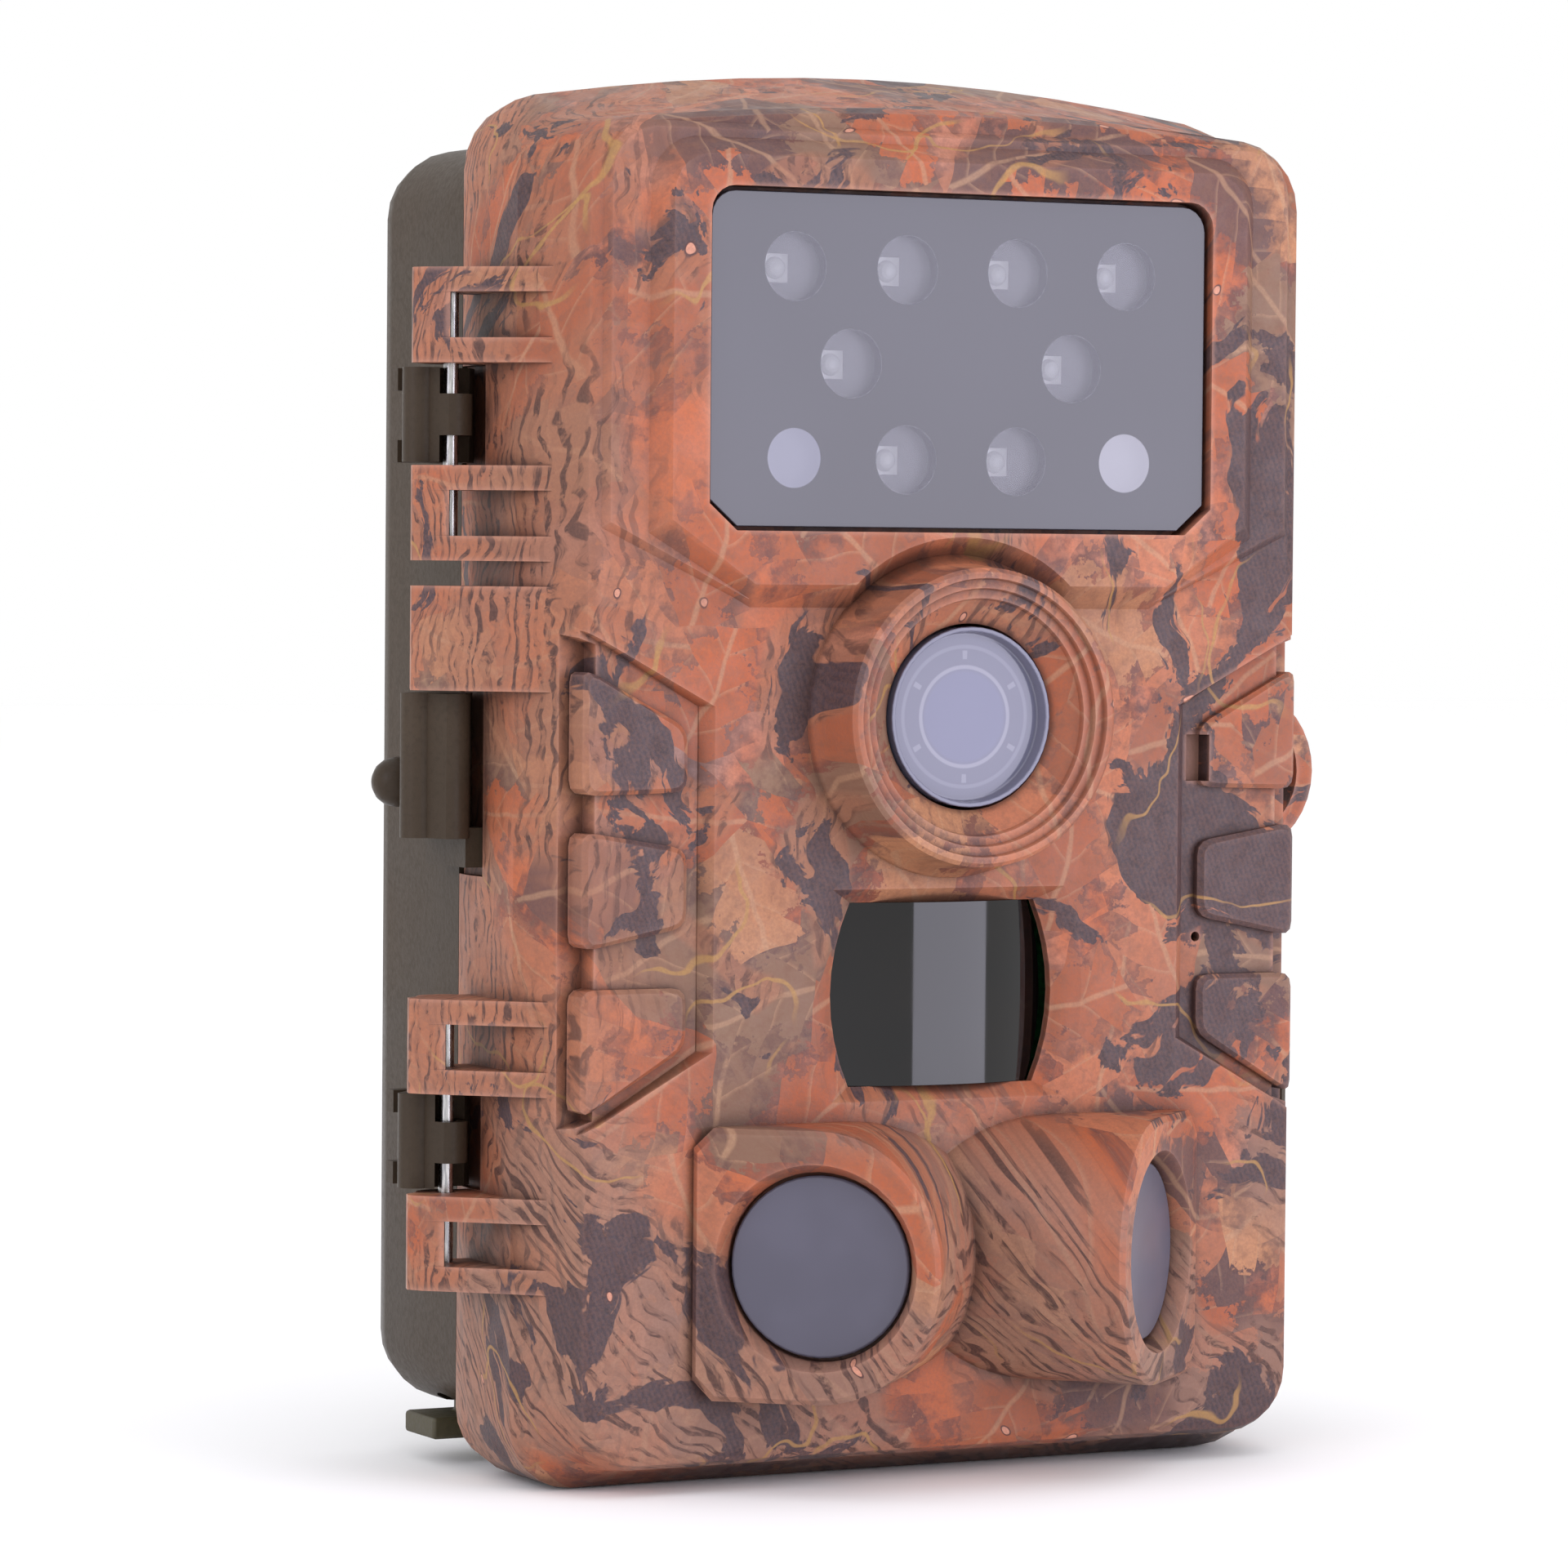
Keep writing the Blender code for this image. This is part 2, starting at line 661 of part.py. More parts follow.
def lamps():
    back = FACE_Y + DOOR_WALL + 1.6
    board = prism(window_outline(2.0), back, back + 1.2, "Y", "led_board", "black_plastic")
    front = back - GAP
    spots = lamp_spots()
    sensor_spot, pilot_spot = spots[6], spots[9]
    lamp_number = 0
    for x, z in spots:
        if (x, z) in (sensor_spot, pilot_spot):
            continue
        lamp_number += 1
        chip = box((x - 1.4, front - 1.0, z - 1.4), (x + 1.4, front, z + 1.4), f"ir_led_{lamp_number}", "lamp")
        dome = [(1.15 * math.cos(a), 0.9 + 0.8 * math.sin(a)) for a in (0, 0.4, 0.8, 1.2, 1.5)]
        add(chip, turned([(1.15, 0.2)] + dome, (x, front, z), (0, -1, 0), 16))
    x, z = sensor_spot
    turned([(2.5, 0), (2.5, 1.2), (2.1, 1.6), (0.4, 1.7)], (x, front, z), (0, -1, 0), 24,
           "light_sensor", "lamp")
    x, z = pilot_spot
    turned([(1.5, 0), (1.5, 0.9), (1.1, 1.5), (0.3, 1.8)], (x, front, z), (0, -1, 0), 20,
           "indicator_led", "lamp")
    return board


def lens():
    rim = BOSS_Y + 3.1
    face = rim + 1.4
    turned([(0.2, face), (LENS_RADIUS - 0.6, face), (LENS_RADIUS - 0.45, rim), (LENS_RADIUS, rim),
            (LENS_RADIUS, face + 1.4), (0.2, face + 1.4)], (0, 0, LENS_Z), (0, 1, 0), 48,
           "lens_cover", "grey_window")
    back = BOARD_Y - GAP
    barrel = turned([(4.0, face + 1.8), (6.2, face + 1.8), (6.2, back - 2.4), (4.0, back - 2.4)],
                    (0, 0, LENS_Z), (0, 1, 0), 32, "lens_barrel", "black_plastic")
    add(barrel, box((-7.2, back - 3.0, LENS_Z - 7.2), (7.2, back, LENS_Z + 7.2)))


def centre_eye():
    pane = prism(eye_outline(-0.35), -24, -6, "Y", "center_sensor_window", "black_window")
    middle = FACE_Y + 0.3 + EYE_CURVE
    shell = turned([(EYE_CURVE, 30), (EYE_CURVE, 66)], (0, middle, 0), (0, 0, 1), 96)
    cut(shell, turned([(EYE_CURVE - 1.2, 20), (EYE_CURVE - 1.2, 76)], (0, middle, 0), (0, 0, 1), 96))
    combine(pane, shell, "INTERSECT")
    cut(pane, box((-40, 0, 0), (40, 80, 100)))
    turned([(4.1, 0), (4.1, 0.4), (3.9, 0.5), (3.9, 2.8), (3.6, 3.1)], (0, BOARD_Y - GAP, EYE_Z), (0, -1, 0), 32,
           "center_sensor", "nickel")


def side_eyes():
    for name, side in (("left", -1), ("right", 1)):
        centre, out, across = pod_frame(side)
        turned([(POD_DISC - 0.3, -1.2), (POD_DISC, -0.9), (POD_DISC, -0.2), (POD_DISC - 0.2, 0)],
               centre, out, 48, f"{name}_sensor_window", "grey_window")
        turned([(4.5, -9.0), (4.5, -8.4), (4.1, -8.4), (4.1, -5.4), (3.8, -5.0)], centre, out, 32,
               f"{name}_sensor", "nickel")


# ---------------------------------------------------------------- door electronics and keypad

def electronics():
    front, back = BOARD_Y, BOARD_Y + BOARD_THICK
    board = prism(plate_outline(DOOR_WALL + 3.0), front, back, "Y", "main_board", "board")
    screen_y = back + GAP
    box((-SCREEN_HALF, screen_y, SCREEN_LOW - 6), (SCREEN_HALF, screen_y + 3.2, SCREEN_LOW + 2),
        "display", "black_plastic")
    display = bpy.data.objects["display"]
    add(display, box((-SCREEN_HALF, COVER_Y - 3.6, SCREEN_LOW), (SCREEN_HALF, COVER_Y - GAP, SCREEN_HIGH)))
    add(display, box((-SCREEN_HALF, screen_y, SCREEN_LOW - 2), (SCREEN_HALF, COVER_Y - GAP, SCREEN_LOW + 3)))
    speaker = turned([(9.0, 0), (9.0, 3.6), (6.0, 4.4)], (-24.0, back + GAP, 24.0), (0, 1, 0), 32,
                     "speaker", "black_plastic")
    card_y = back + GAP
    box((9.0, card_y, 12.0), (9.0 + CARD_WIDE, card_y + CARD_THICK, 12.0 + CARD_LONG), "memory_card", "black_plastic")
    return board, speaker


def keypad():
    cover = prism(rim_outline(DOOR_WALL + 0.6, RIM_FRONT_TOP), COVER_Y, COVER_Y + COVER_THICK, "Y",
                  "inner_cover", "black_plastic")
    cut(cover, box((-SCREEN_HALF + 2, 0, SCREEN_LOW + 1.5), (SCREEN_HALF - 2, 12, SCREEN_HIGH - 1.5)))
    cut(cover, box((8.0, 0, 11.0), (34.0, 12, 30.0)))
    foot = BOARD_Y + BOARD_THICK + GAP + BUTTON_TRAVEL
    for name, x, z in KEYS:
        cut(cover, rod((x, 0, z), (x, 12, z), BUTTON_RADIUS + GAP, 24))
        turned([(1.4, foot), (1.4, COVER_Y - 1.4), (BUTTON_RADIUS + 1.0, COVER_Y - 1.4),
                (BUTTON_RADIUS + 1.0, COVER_Y - GAP), (BUTTON_RADIUS, COVER_Y - GAP),
                (BUTTON_RADIUS, COVER_Y + COVER_THICK + 0.8), (BUTTON_RADIUS - 0.5, COVER_Y + COVER_THICK + 1.2)],
               (x, 0, z), (0, 1, 0), 24, name, "rubber")
    cut(cover, box((-27.0, 0, 46.5), (-19.0, 12, 50.5)))
    knob = box((-26.6, 2.2, 47.0), (-23.6, COVER_Y + COVER_THICK + 1.2, 50.0), "power_switch", "red")
    add(knob, box((-28.6, 1.0, 45.0), (-21.6, COVER_Y - GAP - 0.6, 52.0)))
    return cover


def door_lead():
    path = [(HINGE_X, HINGE_Y, DUCT_SEAM + 0.2), (HINGE_X, HINGE_Y, DUCT_SEAM + 3.4),
            (HINGE_X + 0.4, HINGE_Y, DUCT_SEAM + 4.6), (HINGE_X + 1.6, HINGE_Y, DUCT_SEAM + 5.0),
            (HINGE_X + 5.1, HINGE_Y, DUCT_SEAM + 5.0), (HINGE_X + 8.6, HINGE_Y - 0.6, DUCT_SEAM + 5.0),
            (HINGE_X + 10.6, HINGE_Y - 3.0, DUCT_SEAM + 5.0), (HINGE_X + 11.3, HINGE_Y - 4.0, DUCT_SEAM + 5.0),
            (HINGE_X + 11.5, BOARD_Y + BOARD_THICK + GAP, DUCT_SEAM + 5.0)]
    return cable("board_lead", path)


def cable(name, path):
    curve = bpy.data.curves.new(name, "CURVE")
    curve.dimensions = "3D"
    curve.bevel_depth = LEAD_RADIUS * MM
    curve.bevel_resolution = 2
    curve.use_fill_caps = True
    spline = curve.splines.new("POLY")
    spline.points.add(len(path) - 1)
    for point, spot in zip(spline.points, path):
        point.co = (*[value * MM for value in spot], 1.0)
    obj = bpy.data.objects.new(name, curve)
    obj.data.materials.append(material("rubber"))
    bpy.context.scene.collection.objects.link(obj)
    return obj


def hinge_pins():
    door_tops, _ = hinge_levels()
    for name, (upper, lower) in zip(("upper_hinge_pin", "lower_hinge_pin"), door_tops):
        rod((HINGE_X, HINGE_Y, lower - LEAF + ARM - 1.0 + GAP), (HINGE_X, HINGE_Y, upper - ARM + 1.0 - GAP),
            PIN_RADIUS, 24, name, "steel")


# ---------------------------------------------------------------- rear case

def knuckle_plan():
    """Outline, seen from above, of a case knuckle: barrel on the pin, second lobe, foot on the side."""
    barrel = arc(HINGE_X, HINGE_Y, 2.1, -120, 20, 10)
    lobe = arc(HINGE_X - 2.3, HINGE_Y + 2.3, 1.7, 120, 280, 10)
    root, seam = 1.0 - CASE_HALF, SEAM_Y + GAP + 0.4
    foot = [(HINGE_X + 3.9, HINGE_Y + 3.0), (HINGE_X + 3.9, seam), (root, seam), (root, HINGE_Y + 12.0),
            (HINGE_X + 1.1, HINGE_Y + 8.5)]
    return barrel + foot + lobe


def hinge_knuckle(top):
    """A case knuckle whose ends are cut away round the pin, with a thin tab left at each end."""
    low = top - LEAF
    body = prism(knuckle_plan(), low, top)
    for base, end in ((low - 1, low + 2.6), (top - 2.6, top + 1)):
        cut(body, box((HINGE_X - 1.5, -2, base), (HINGE_X + 3.7, HINGE_Y + 1.6, end)))
    for base in (low, top - 2.2):
        add(body, box((HINGE_X - 2.9, 9.2, base), (HINGE_X + 2.1, 10.8, base + 2.2)))
    return body


def nub():
    """Round-ended stub on the case's left side."""
    radius = NUB_RADIUS
    profile = [(radius, 0.0), (radius, 5.4)]
    profile += [(radius * math.cos(a), 5.4 + 2.4 * math.sin(a)) for a in (0.4, 0.8, 1.15, 1.45)]
    return turned(profile, (1.0 - CASE_HALF, NUB_Y, NUB_Z), (-1, 0, 0), 24)


def latch_ears(centre):
    ears = []
    for low in (centre - LATCH_HIGH / 2 - 2.8, centre + LATCH_HIGH / 2 + GAP):
        plan = arc(LATCH_X, LATCH_Y, 2.2, -60, 60, 6) 
        plan += [(CASE_HALF - 1.0, LATCH_Y + 3.0), (CASE_HALF - 1.0, LATCH_Y - 3.0)]
        ears.append(prism(plan, low, low + 2.5))
    return ears


def rear_housing():
    back = CASE_BACK_Y
    seam = SEAM_Y + GAP
    shell = loft([(seam, case_outline()), (back - 5.0, case_outline()), (back - 2.2, case_outline(0.7)),
                  (back - 0.7, case_outline(2.2)), (back, case_outline(5.0))], "rear_housing", "olive")
    for top in hinge_levels()[1]:
        add(shell, hinge_knuckle(top))
    add(shell, prism(knuckle_plan(), DUCT_BASE, DUCT_SEAM - LEAF_GAP / 2))
    left, root, inner = HINGE_X + 1.7, HINGE_X + 4.1, 1.0 - CASE_HALF
    grommet = [(left, 2.6), (root, 2.6), (root, seam + 0.4), (inner, seam + 0.4), (inner, 12.0), (left, 12.0)]
    add(shell, prism(grommet, DUCT_BASE - 2.9, DUCT_BASE + 1.0))
    for centre in LATCH_CENTRES:
        add(shell, *latch_ears(centre))
    add(shell, eye_plate(seam + 0.2, seam + 0.2 + LUG_THICK, CASE_HALF - 1.5))
    add(shell, nub())
    add(shell, box((-BOSS_HALF, 11.0, 0.0), (BOSS_HALF, 28.0, CASE_BASE + 1.0)))
    cut(shell, loft([(seam - 1, case_outline(CASE_WALL)), (back - CASE_WALL, case_outline(CASE_WALL))]))
    rim = 1.9
    lip = ring("tool", CASE_WALL - 0.5, CASE_WALL + rim, seam, seam + 3.0)
    add(shell, lip)
    cut(shell, ring("tool", 1.0, 2.9, seam - 1, seam + 1.5))
    add(shell, box((-BOSS_HALF + 1, TRIPOD_Y - 7, CASE_BASE + 1), (BOSS_HALF - 1, TRIPOD_Y + 7, INSERT_TOP + 1.5)))
    cut(shell, rod((0, TRIPOD_Y, -1), (0, TRIPOD_Y, INSERT_TOP), INSERT_RADIUS + GAP, 32))
    cut(shell, rod((PLUG_X, PLUG_Y, 0), (PLUG_X, PLUG_Y, CASE_BASE + 4), 4.0, 32))
    for top in hinge_levels()[1]:
        cut(shell, rod((HINGE_X, HINGE_Y, top - LEAF - 2), (HINGE_X, HINGE_Y, top + 2), PIN_RADIUS + GAP, 24))
    for centre in LATCH_CENTRES:
        reach = LATCH_HIGH / 2 + 1.6
        cut(shell, rod((LATCH_X, LATCH_Y, centre - reach), (LATCH_X, LATCH_Y, centre + reach), LATCH_PIN + GAP, 24))
    cut(shell, rod((HINGE_X, HINGE_Y, DUCT_SEAM - 6.0), (HINGE_X, HINGE_Y, DUCT_SEAM + 2), DUCT_BORE, 16))
    level = DUCT_SEAM - 5.6
    cut(shell, rod((HINGE_X, HINGE_Y, level), (DUCT_BEND[0] + 0.1, DUCT_BEND[1] + 0.4, level), DUCT_BORE, 16))
    cut(shell, rod((*DUCT_BEND, level), (DUCT_BEND[0] + 7.1, DUCT_BEND[1] + 5.6, level), DUCT_BORE, 16))
    return shell


def ring(name, inset_out, inset_in, low, high, finish="camo"):
    """A band that follows the rear case's outline."""
    outer = prism(case_outline(inset_out), low, high, "Y", name, finish)
    return cut(outer, prism(case_outline(inset_in), low - 1, high + 1, "Y"))


def seal():
    seam = SEAM_Y + GAP
    return ring("seal_ring", 1.3, 2.6, seam - 0.15, seam + 1.2, "rubber")


def cell_columns():
    return [(i - 1.5) * CELL_PITCH for i in range(4)]


def batteries():
    for column, x in enumerate(cell_columns()):
        for row in range(2):
            base = CELL_BASE_Z + row * (CELL_LENGTH + GAP)
            number = 2 * column + row + 1
            turned([(CELL_RADIUS - 1.3, 0), (CELL_RADIUS - 0.2, 0.3), (CELL_RADIUS, 0.9), (CELL_RADIUS, 48.2),
                    (CELL_RADIUS - 0.3, 48.8),
                    (2.8, 48.9), (2.8, CELL_LENGTH)], (x, CELL_Y, base), (0, 0, 1), 18,
                   f"battery_{number}", "cell")


def tray_inside():
    """Lowest and highest level of the room for cells and contacts."""
    low = CELL_BASE_Z - CONTACT_ROOM
    return low, low + 2 * CELL_LENGTH + GAP + 2 * CONTACT_ROOM


def battery_tray():
    low, high = tray_inside()
    half = TRAY_HALF
    floor = CELL_Y + CELL_RADIUS + GAP
    tray = box((-half, CELL_Y - 5.0, low - TRAY_WALL), (half, floor + TRAY_WALL, high + TRAY_WALL),
               "battery_tray", "black_plastic")
    for x in cell_columns():
        reach = CELL_RADIUS + GAP
        cut(tray, box((x - reach, CELL_Y - 8, low), (x + reach, floor, high)))
    for pair in (-1, 1):
        middle = pair * CELL_PITCH
        for level in (low, high):
            cut(tray, box((middle - 3.0, CELL_Y - 8, level - 2.6), (middle + 3.0, CELL_Y + 5.0, level + 2.6)))
    return tray


def contacts():
    low, high = tray_inside()
    for side, pair in (("left", -1), ("right", 1)):
        middle = pair * CELL_PITCH
        for place, level, way in (("lower", low + GAP, 1), ("upper", high - GAP, -1)):
            name = f"{place}_contact_{side}"
            plate_low, plate_high = sorted((level, level + way * 0.7))
            reach = CELL_PITCH / 2
            plate = box((middle - reach - 4.0, CELL_Y - 4.0, plate_low), (middle + reach + 4.0, CELL_Y + 4.0, plate_high),
                        name, "nickel")
            cut(plate, box((middle - 3.5, CELL_Y + 1.0, plate_low - 1), (middle + 3.5, CELL_Y + 9.0, plate_high + 1)))
            for x in (middle - reach, middle + reach):
                cone = turned([(3.2, 0.2), (3.2, 1.0), (1.8, CONTACT_ROOM - 2 * GAP)], (x, CELL_Y, level),
                              (0, 0, way), 20)
                add(plate, cone)


def tripod_insert():
    insert = turned([(INSERT_RADIUS, 0.4), (INSERT_RADIUS, INSERT_TOP - GAP)], (0, TRIPOD_Y, 0), (0, 0, 1), 32,
                    "tripod_insert", "brass")
    return cut(insert, rod((0, TRIPOD_Y, -1), (0, TRIPOD_Y, INSERT_TOP - 1.2), TRIPOD_RADIUS, 32))


def power_socket():
    jack = turned([(SOCKET_RADIUS, 10.4), (SOCKET_RADIUS, 18.4)], (PLUG_X, PLUG_Y, 0), (0, 0, 1), 24,
                  "power_socket", "black_plastic")
    cut(jack, rod((PLUG_X, PLUG_Y, 0), (PLUG_X, PLUG_Y, 17.0), 2.8, 24))
    flap = box((FLAP_LEFT, PLUG_Y - 3.6, FLAP_TOP - FLAP_THICK), (FLAP_RIGHT, PLUG_Y + 3.6, FLAP_TOP),
               "port_plug", "olive_rubber")
    stem = turned([(2.3, FLAP_TOP - 1.0), (2.3, 8.8), (1.8, 9.4)], (PLUG_X, PLUG_Y, 0), (0, 0, 1), 24)
    return add(flap, stem)


def tree_bracket():
    back = CASE_BACK_Y + GAP
    plate = box((-BRACKET_HALF, back, BRACKET_LOW), (BRACKET_HALF, back + 2.4, BRACKET_HIGH), "tree_bracket", "olive")
    mid = (BRACKET_LOW + BRACKET_HIGH) / 2
    for side in (-1, 1):
        plan = [(side * 15.0, back + 1.0), (side * 20.0, back + 1.0), (side * 20.0, back + RIB_DEPTH),
                (side * 18.6, back + RIB_DEPTH + 1.6), (side * 16.4, back + RIB_DEPTH)]
        add(plate, prism(plan, BRACKET_LOW + 4, BRACKET_HIGH - 4))
        low_x, high_x = sorted((side * 14.0, side * 21.5))
        for middle in (mid - 22.0, mid + 22.0):
            cut(plate, box((low_x, back + 2.0, middle - STRAP_SLOT / 2),
                           (high_x, back + 2.0 + STRAP_THICK, middle + STRAP_SLOT / 2)))
    return plate


def latches():
    for name, centre in zip(("upper", "lower"), LATCH_CENTRES):
        half = LATCH_HIGH / 2
        hook_y = -2.6
        plan = arc(LATCH_X, LATCH_Y, 1.8, -70, 180, 12)
        plan += [(LATCH_X - 1.0, LATCH_Y - 3.0), (RIM_HALF + GAP, 6.0), (RIM_HALF + GAP, hook_y),
                 (RIM_HALF + 1.4, hook_y - 1.0), (RIM_HALF + 2.2, hook_y - 0.4), (RIM_HALF + 2.3, 6.0),
                 (LATCH_X + 1.2, LATCH_Y - 3.0)]
        latch = prism(plan, centre - half, centre + half, "Z", f"{name}_latch", "olive")
        cut(latch, rod((LATCH_X, LATCH_Y, centre - half - 1), (LATCH_X, LATCH_Y, centre + half + 1),
                       LATCH_PIN + GAP, 20))
        reach = half + 1.6 - GAP
        rod((LATCH_X, LATCH_Y, centre - reach), (LATCH_X, LATCH_Y, centre + reach), LATCH_PIN, 20,
            f"{name}_latch_pin", "steel")


def case_lead():
    level = DUCT_SEAM - 5.6
    path = [(HINGE_X, HINGE_Y, DUCT_SEAM - 0.2), (HINGE_X, HINGE_Y, level + 1.6),
            (HINGE_X + 0.3, HINGE_Y + 0.7, level + 0.4), (HINGE_X + 0.6, HINGE_Y + 2.2, level),
            (*DUCT_BEND, level), (HINGE_X + 3.3, HINGE_Y + 8.2, level), (HINGE_X + 7.5, HINGE_Y + 11.6, level),
            (HINGE_X + 10.3, HINGE_Y + 13.8, level)]
    return cable("battery_lead", path)


def main():
    clear_scene()
    front_housing()
    lamp_window()
    lamps()
    lens()
    centre_eye()
    side_eyes()
    electronics()
    keypad()
    door_lead()
    hinge_pins()
    rear_housing()
    seal()
    batteries()
    battery_tray()
    contacts()
    tripod_insert()
    power_socket()
    tree_bracket()
    latches()
    case_lead()


main()
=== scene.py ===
"""Looks of the trail camera: camouflage film on the door, olive case, smoked windows, steel pins."""

import functools
import json
import math

import bpy
from mathutils import Matrix, Vector


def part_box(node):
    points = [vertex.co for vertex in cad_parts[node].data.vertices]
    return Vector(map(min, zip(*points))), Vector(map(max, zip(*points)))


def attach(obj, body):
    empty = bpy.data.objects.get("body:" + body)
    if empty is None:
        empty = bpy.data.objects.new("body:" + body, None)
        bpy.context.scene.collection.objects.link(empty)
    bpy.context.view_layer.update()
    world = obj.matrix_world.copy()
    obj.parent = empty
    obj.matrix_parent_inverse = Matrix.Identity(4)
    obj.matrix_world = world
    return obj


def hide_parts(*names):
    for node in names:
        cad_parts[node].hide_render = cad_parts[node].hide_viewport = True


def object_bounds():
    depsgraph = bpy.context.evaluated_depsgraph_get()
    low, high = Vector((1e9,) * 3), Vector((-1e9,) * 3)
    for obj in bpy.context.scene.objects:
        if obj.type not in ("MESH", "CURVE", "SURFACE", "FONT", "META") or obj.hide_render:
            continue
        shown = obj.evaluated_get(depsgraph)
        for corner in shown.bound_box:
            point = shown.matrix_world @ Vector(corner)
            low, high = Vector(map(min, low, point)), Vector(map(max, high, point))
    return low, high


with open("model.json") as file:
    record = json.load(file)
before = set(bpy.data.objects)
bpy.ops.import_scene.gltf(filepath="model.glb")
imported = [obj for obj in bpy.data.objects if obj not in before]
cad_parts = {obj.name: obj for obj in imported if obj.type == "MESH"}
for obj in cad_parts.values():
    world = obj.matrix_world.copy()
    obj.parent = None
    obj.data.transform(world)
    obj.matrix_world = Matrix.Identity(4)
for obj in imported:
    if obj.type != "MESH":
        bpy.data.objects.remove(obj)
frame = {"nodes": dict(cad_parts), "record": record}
cad_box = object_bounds()
NODES = frame["nodes"]
# Lengths are in metres, or in millimetres where a name ends in MM.
MM = 0.001
TO_MM = (1000, 1000, 1000)
BARK_PITCH_MM = 1.5
TOOTH_PITCH_MM = 4.2
LAMP_DISC_MM = 3.35
SENSOR_DISC_MM = 2.9
MOULD_GRAIN_MM = 0.6
# The bands of a wave texture repeat over this length when its scale is 1.
WAVE_LENGTH = 0.314
WHOLE_TURN = 6.28


# ---------------------------------------------------------------- helpers

def linear(hex_colour):
    """An sRGB hex colour as linear red, green, blue, alpha."""
    channels = [int(hex_colour[i:i + 2], 16) / 255 for i in (1, 3, 5)]
    return (*[c / 12.92 if c <= 0.04045 else ((c + 0.055) / 1.055) ** 2.4 for c in channels], 1.0)


def add(tree, kind, *inputs, **settings):
    """Adds a node with its settings; inputs go to its sockets in order, and None leaves one as it is."""
    made = tree.nodes.new("ShaderNode" + kind)
    for key, value in settings.items():
        setattr(made, key, value)
    for socket, value in zip([s for s in made.inputs if s.enabled], inputs):
        if isinstance(value, bpy.types.Node):
            value = next(s for s in value.outputs if s.enabled)
        if isinstance(value, bpy.types.NodeSocket):
            tree.links.new(value, socket)
        elif value is not None:
            socket.default_value = linear(value) if isinstance(value, str) else value
    return made


def new_material(name, **shader_inputs):
    """A material with a Principled shader; gives the material, its node adder and its shader."""
    made = bpy.data.materials.new(name)
    made.use_nodes = True
    shader = made.node_tree.nodes["Principled BSDF"]
    for key, value in shader_inputs.items():
        shader.inputs[key.replace("_", " ")].default_value = value
    return made, functools.partial(add, made.node_tree), shader


def wire(made, shader, **sources):
    """Links the first result of each node to the shader's input of that name."""
    for key, source in sources.items():
        output = next(s for s in source.outputs if s.enabled)
        made.node_tree.links.new(output, shader.inputs[key.replace("_", " ")])


SMOOTH = {"interpolation_type": "SMOOTHSTEP"}
COLOUR = {"data_type": "RGBA"}
FLAT = {"voronoi_dimensions": "2D"}


# ---------------------------------------------------------------- materials

